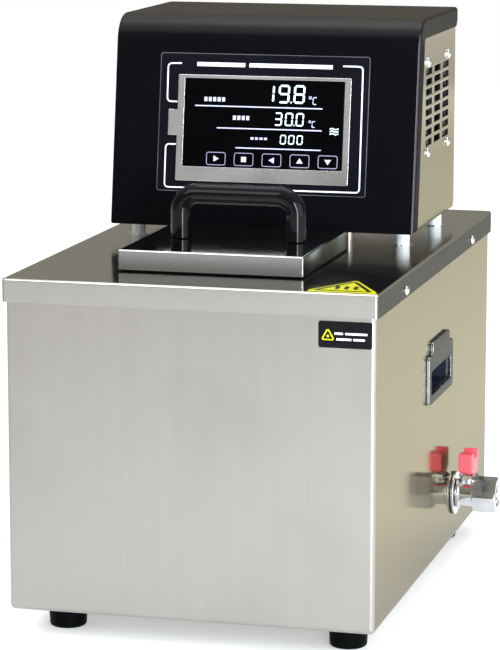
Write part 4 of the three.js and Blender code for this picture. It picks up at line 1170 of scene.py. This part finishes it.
def build_display():
    x0, x1, y0, y1 = BEZEL
    tab, tab_low, tab_high = BEZEL_TAB
    corners = [(x0, y0), (x1, y0), (x1, y1), (x0, y1),
               (x0, tab_high), (tab, tab_high), (tab, tab_low), (x0, tab_low)]
    outline = rounded(corners, [1, 1, 1, 1, 0, 0.6, 0.6, 0], 3)
    film = plate([rectangle(*FILM, 2)], 0.5, 0.12)
    film = stand_in("display_overlay", moved(film, FACE @ at(0, 0, 0.3)))
    forward = FACE.to_3x3() @ Vector((0, 0, 1))
    paint(film, "ink_edge", lambda centre, normal: normal.dot(forward) < 0.9)
    x0, x1, y0, y1 = GLASS
    bezel = plate([outline, rectangle(x0 - 0.1, x1 + 0.1, y0 - 0.1, y1 + 0.1, 0.6, 3)], 1.25, 0.3)
    stand_in("display_bezel", moved(bezel, FACE @ at(0, 0, 0.35)))
    glass = plate([rectangle(*GLASS, 0.6, 3)], GLASS_TOP - 0.3, 0.25)
    stand_in("display_glass", moved(glass, FACE @ at(0, 0, 0.3)))
    build_film_lines()
    build_readouts()


def build_film_lines():
    """A frame line in two parts round the bezel, two bars over it and the film's pale edge."""
    z = FILM_TOP - 0.005
    main = [(63.7, 132.0), (80.0, 132.0), (80.8, 31.8), (-81.0, 31.2), (-81.1, 66), (-72.6, 66)]
    upper = [(-70, 131.4), (-81.3, 131.1), (-81.1, 100.4), (-72.6, 100.4)]
    lines = [strip(rounded(line, 3, 5, closed=False), 1.15, z) for line in (main, upper)]
    x0, x1, y0, y1 = FILM
    inset = 0.35
    edge = rectangle(x0 + inset, x1 - inset, y0 + inset, y1 - inset, 1.8)
    piece("film_edge", moved(strip(edge, 0.5, z, closed=True), FACE), "ink_edge")
    lines += [strip([(start, 131.0), (end, 131.0)], 3.2, z) for start, end in ((-57.0, -17.0), (-13.5, 55.2))]
    piece("film_lines", moved(merged(*lines), FACE), "ink_white")


def build_readouts():
    """Temperature, set point and timer readings, their rules, and five touch keys."""
    z = GLASS_TOP - 0.005
    bright, violet = [], []
    for text, right, y, wide, tall, width, gap in READINGS:
        x = right - wide
        for sign in reversed(text):
            if sign == ".":
                dot = circle(x + wide + gap / 2, y + width / 2, width * 0.42, 12)
                bright.append(slab(dot, z))
                continue
            bright += digit(sign, x, y, wide, tall, width, z)
            x -= wide + gap
    violet += degree_mark(37.2, 100.6, 6.2, z)
    violet += degree_mark(37.6, 82.4, 5.2, z)
    for start, y in ((-57.3, 97.6), (-38.5, 80.1), (-22.2, 64.5)):
        violet.append(strip([(start, y), (48.4, y)], 0.9, z))
    for start, y, tall, count in ((-49.7, 103.0, 3.4, 5), (-25.3, 88.6, 3.4, 4), (-10.0, 72.4, 1.8, 4)):
        for x in [start + i * 3.7 for i in range(count)]:
            violet.append(strip([(x, y), (x + 2.5, y)], tall, z))
    for y in (77.6, 79.6, 81.6):
        wave = [(55.0, y), (57.2, y + 0.7), (59.6, y - 0.3), (62.2, y + 0.4)]
        bright.append(strip(wave, 0.9, z))
    signs, frames = touch_keys(z)
    piece("readout_digits", moved(merged(*bright), FACE), "lit_cyan")
    piece("readout_rules", moved(merged(*violet, *signs), FACE), "lit_violet")
    piece("touch_key_frames", moved(merged(*frames), FACE), "lit_dim")


def touch_keys(z):
    """Plain signs for start, stop, back, up and down, and the frames round them."""
    first, pitch, wide, low, high = -46.1, 23.15, 15.6, 50.3, 60.3
    signs = [
        [(-2, -2.4), (2.6, 0), (-2, 2.4)],
        [(-2.1, -2.1), (2.1, -2.1), (2.1, 2.1), (-2.1, 2.1)],
        [(2, -2.4), (2, 2.4), (-2.6, 0)],
        [(-2.8, -1.8), (2.8, -1.8), (0, 2.4)],
        [(-2.8, 1.8), (0, -2.4), (2.8, 1.8)],
    ]
    lit, frames = [], []
    for i, sign in enumerate(signs):
        left = first + i * pitch
        frames.append(strip(rectangle(left, left + wide, low, high, 1.6, 4), 0.6, z, closed=True))
        x, y = left + wide / 2, (low + high) / 2
        lit.append(slab([(x + u, y + v) for u, v in sign], z))
    return lit, frames


# ---------- labels ----------


def build_front_label():
    low, high = box("front_label")
    x0, x1, z0, z1 = low.x, high.x, low.z, high.z
    label = plate([rectangle(x0, x1, z0, z1, 1.8)], high.y - low.y, 0.1)
    stand_in("front_label", moved(label, at(0, high.y, 0) @ ALONG_MINUS_Y))
    face = at(0, low.y, 0) @ ALONG_MINUS_Y
    level = -0.02  # the print starts just under the label's face
    bars = []
    for x, z, lengths in ((x0 + 12.2, z1 - 9.0, (6.4, 16.6)), (x0 + 13.6, z1 - 13.2, (11.2, 8.6))):
        for length in lengths:
            bars.append(strip([(x, z), (x + length, z)], 1.5, level))
            x += length + 1.6
    piece("label_bars", moved(merged(*bars), face), "ink_white")
    x, z, size = x0 + 7.2, (z0 + z1) / 2, 4.6
    triangle = [(x - size, z - 3.8), (x + size, z - 3.8), (x, z + 4.4)]
    outline = strip(rounded(triangle, 0.8, 3), 0.9, level, closed=True)
    mark = merged(outline, slab(circle(x, z - 1.2, 1.0, 16), level))
    piece("label_mark", moved(mark, face), "label_film_yellow")


def build_sticker():
    low, high = box("hot_surface_label")
    x, y = (low.x + high.x) / 2, low.y
    corners = [(low.x, y), (high.x, y), (x, high.y)]
    sticker = plate([rounded(corners, 2.2, 4)], high.z - low.z, 0.1)
    stand_in("hot_surface_label", moved(sticker, at(0, 0, low.z)))
    level, thick, width = high.z - 0.01, 0.12, 2.9
    border = [(low.x + 6.5, y + 3.4), (high.x - 6.5, y + 3.4), (x, high.y - 7)]
    marks = [strip(rounded(border, 1.5, 3), width, level, thick, closed=True)]
    for shift in (-7, 0, 7):
        wave = [(x + shift + u, y + v) for u, v in ((-1.6, 24), (0.6, 19), (-0.6, 16), (1.6, 11))]
        marks.append(strip(rounded(wave, 1.5, 3, closed=False), width, level, thick))
    piece("sticker_border", merged(*marks), "label_film_black")


# ---------- tank, heater and pump ----------

COIL_BAR, PIPE = 4.0, 6.0  # radii


def build_tank():
    low, high = box("inner_tank")
    half = (high - low) / 2
    rim, wall, bend, flat = 8.0, 1.2, 9.0, 20
    x, y = half.x - rim, half.y - rim
    floor, top = low.z, high.z
    corners = [(flat, floor), (0, floor), (0, top - SHEET), (-rim, top - SHEET), (-rim, top), (wall, top),
               (wall, floor + wall), (flat, floor + wall)]
    section = rounded(corners, [0, bend, 0.4, 0.3, 0.3, 1.2, bend - wall, 0], 6, closed=False)
    tank = moved(folded(x, y, 16, section, steps=8), at((low.x + high.x) / 2, (low.y + high.y) / 2, 0))
    drain = moved(rod(6, 0, 10), at(box("drain_pipe")[0].x + 8, DRAIN.y, floor - 5))
    stand_in("inner_tank", boolean(tank, [drain]))


def build_coil_and_pipes():
    low, high = box("heating_coil")
    x0, x1, y0, y1 = low.x + COIL_BAR, high.x - COIL_BAR, low.y + COIL_BAR, high.y - COIL_BAR
    level, top = low.z + COIL_BAR, high.z
    path = [(x0, y0, top), (x0, y0, level), (x0, y1, level), (x1, y1, level), (x1, y0, level), (x1, y0, top)]
    stand_in("heating_coil", tube(path, 13, COIL_BAR))

    low, high = box("outlet_pipe")
    x, y = low.x + PIPE, middle("pump_column").y
    start, end = low.z + PIPE, high.z - PIPE
    path = [(high.x, y, start), (x, y, start), (x, y, end), (x, high.y, end)]
    stand_in("outlet_pipe", tube(path, 8, PIPE))
    low, high = box("return_pipe")
    x, y, level = middle("return_pipe").x, low.y + PIPE, high.z - PIPE
    stand_in("return_pipe", tube([(x, y, low.z), (x, y, level), (x, high.y, level)], 8, PIPE))


def build_probe():
    low, high = box("temperature_probe")
    centre = middle("temperature_probe")
    slim, wide = 3, 6  # radii of the probe and of its nut
    nut = high.z - 4
    corners = [(0, low.z), (slim, low.z), (slim, nut - 6), (wide, nut - 6), (wide, nut), (slim, nut),
               (slim, high.z), (0, high.z)]
    probe = turned(rounded(corners, [0, 2.2, 0, 0.5, 0.5, 0, 0.5, 0], 4), 40)
    stand_in("temperature_probe", moved(probe, at(centre.x, centre.y, 0)))


def build_pump():
    """The hollow column, the housing with its side outlet, and the finned motor."""
    low, high = box("pump_column")
    axis = at(middle("pump_column").x, middle("pump_column").y, 0)
    corners = [(7, low.z), (14, low.z), (14, high.z - 3), (22, high.z - 3), (22, high.z), (7, high.z)]
    stand_in("pump_column", moved(turned(rounded(corners, [0.3, 0.6, 0.6, 0.5, 0.5, 0.3], 3)), axis))

    low, high = box("pump_housing")
    outer, wall = (high.x - low.x) / 2, 3
    inner, floor, top = outer - wall, low.z, high.z
    corners = [(10, floor), (outer, floor), (outer, top), (5.5, top), (5.5, top - wall), (inner, top - wall),
               (inner, floor + wall), (10, floor + wall)]
    housing = turned(rounded(corners, [0.6, 2.5, 3, 0.4, 0.3, 1, 1, 0.4], 4), 72)
    turn = ALONG_X @ Matrix.Rotation(math.pi / 2, 4, "Z")
    outlet = moved(rod(4.5, -outer - 2, -outer + 6), at(0, 0, (floor + top) / 2) @ turn)
    stand_in("pump_housing", moved(boolean(housing, [outlet]), axis))

    low, high = box("pump_motor")
    radius, fins = (high.x - low.x) / 2, 9
    pitch = (high.z - low.z - 16) / fins
    profile = [(5, low.z), (radius, low.z)]
    for i in range(fins):
        z = low.z + 6 + i * pitch
        profile += [(radius, z), (radius - 2, z + 0.4 * pitch), (radius, z + 0.8 * pitch)]
    profile += [(radius, high.z - 6), (radius - 5, high.z), (5, high.z)]
    stand_in("pump_motor", moved(turned(profile, 72), axis))


# ---------- fan, rear fittings and power ----------


def fan_blade(angle, hub, tip, deep):
    """One twisted blade, from inside the hub out to its tip, its root at an angle round the axis."""
    bm = bmesh.new()
    rings = []
    steps = 8
    for k in range(steps + 1):
        t = k / steps
        reach = hub - 1 + t * (tip - hub + 1)
        pitch = math.radians(48 - 16 * t)
        half, sweep = 7.4 + 1.2 * t, angle + 0.22 * t
        ring = []
        for u, thick in ((-1, -0.5), (0, -0.8), (1, -0.3), (1, 0.3), (0, 0.8), (-1, 0.5)):
            across, bow = u * half * math.cos(pitch), 1.4 * (1 - u * u)
            x = reach * math.cos(sweep) - across * math.sin(sweep)
            y = reach * math.sin(sweep) + across * math.cos(sweep)
            z = deep / 2 + u * half * math.sin(pitch) * 0.9 + thick + bow
            ring.append(bm.verts.new((x, y, z)))
        rings.append(ring)
    join_rings(bm, rings, closed=False)
    bm.faces.new(rings[0])
    bm.faces.new(rings[-1])
    bmesh.ops.recalc_face_normals(bm, faces=bm.faces)
    return bm


def build_fan():
    stand_in("fan_frame", refined("fan_frame", 0.5, 40))
    low, high = box("fan_rotor")
    centre = (low + high) / 2
    deep = high.x - low.x
    hub, tip, blades = 17.0, (high.z - low.z) / 2 - 0.4, 7
    corners = [(0, 0), (hub, 0), (hub, deep), (0, deep)]
    parts = [turned(rounded(corners, [0, 2, 1, 0], 5))]
    parts += [fan_blade(2 * math.pi * i / blades, hub, tip, deep) for i in range(blades)]
    stand_in("fan_rotor", moved(merged(*parts), at(low.x, centre.y, centre.z) @ ALONG_X))


def build_rear():
    """Two hose barbs on hexagons, and the mains inlet with its rocker."""
    barbs, pitch = 4, 5.5
    for node in ("outlet_fitting", "return_fitting"):
        low, high = box(node)
        centre, length = middle(node), high.y - low.y
        profile = [(0, 6), (4.6, 6)]
        for i in range(barbs):
            z = 9 + i * pitch
            profile += [(4.8, z), (6.2, z + 0.1), (6.45, z + 0.5), (4.8, z + pitch - 0.5)]
        profile += [(4.4, length), (0, length)]
        fitting = boolean(hex_nut((high.x - low.x) / 2, 7, 1.6, 1.2), [turned(profile)], "UNION")
        fitting = boolean(fitting, [rod(3, -1, length + 1)])
        stand_in(node, moved(fitting, at(centre.x, low.y, centre.z) @ ALONG_Y), smooth=28)
    stand_in("power_inlet", refined("power_inlet", 0.6))
    stand_in("power_rocker", refined("power_rocker", 0.8))


def finish_cad_nodes():
    """Nodes whose shape is already right keep it and take their slot's material."""
    for node, obj in NODES.items():
        obj.data.materials.clear()
        obj.data.materials.append(FINISH[SLOT_OF[node]])


FINISH = make_finishes()
add_camera()
add_world()
add_stage()
finish_cad_nodes()
build_shell()
build_top_panel()
build_feet()
build_grips()
build_lid()
build_handle()
build_valve()
build_head_cover()
build_head_panels()
build_back_panel()
build_standoffs()
build_display()
build_front_label()
build_sticker()
build_tank()
build_coil_and_pipes()
build_probe()
build_pump()
build_fan()
build_rear()
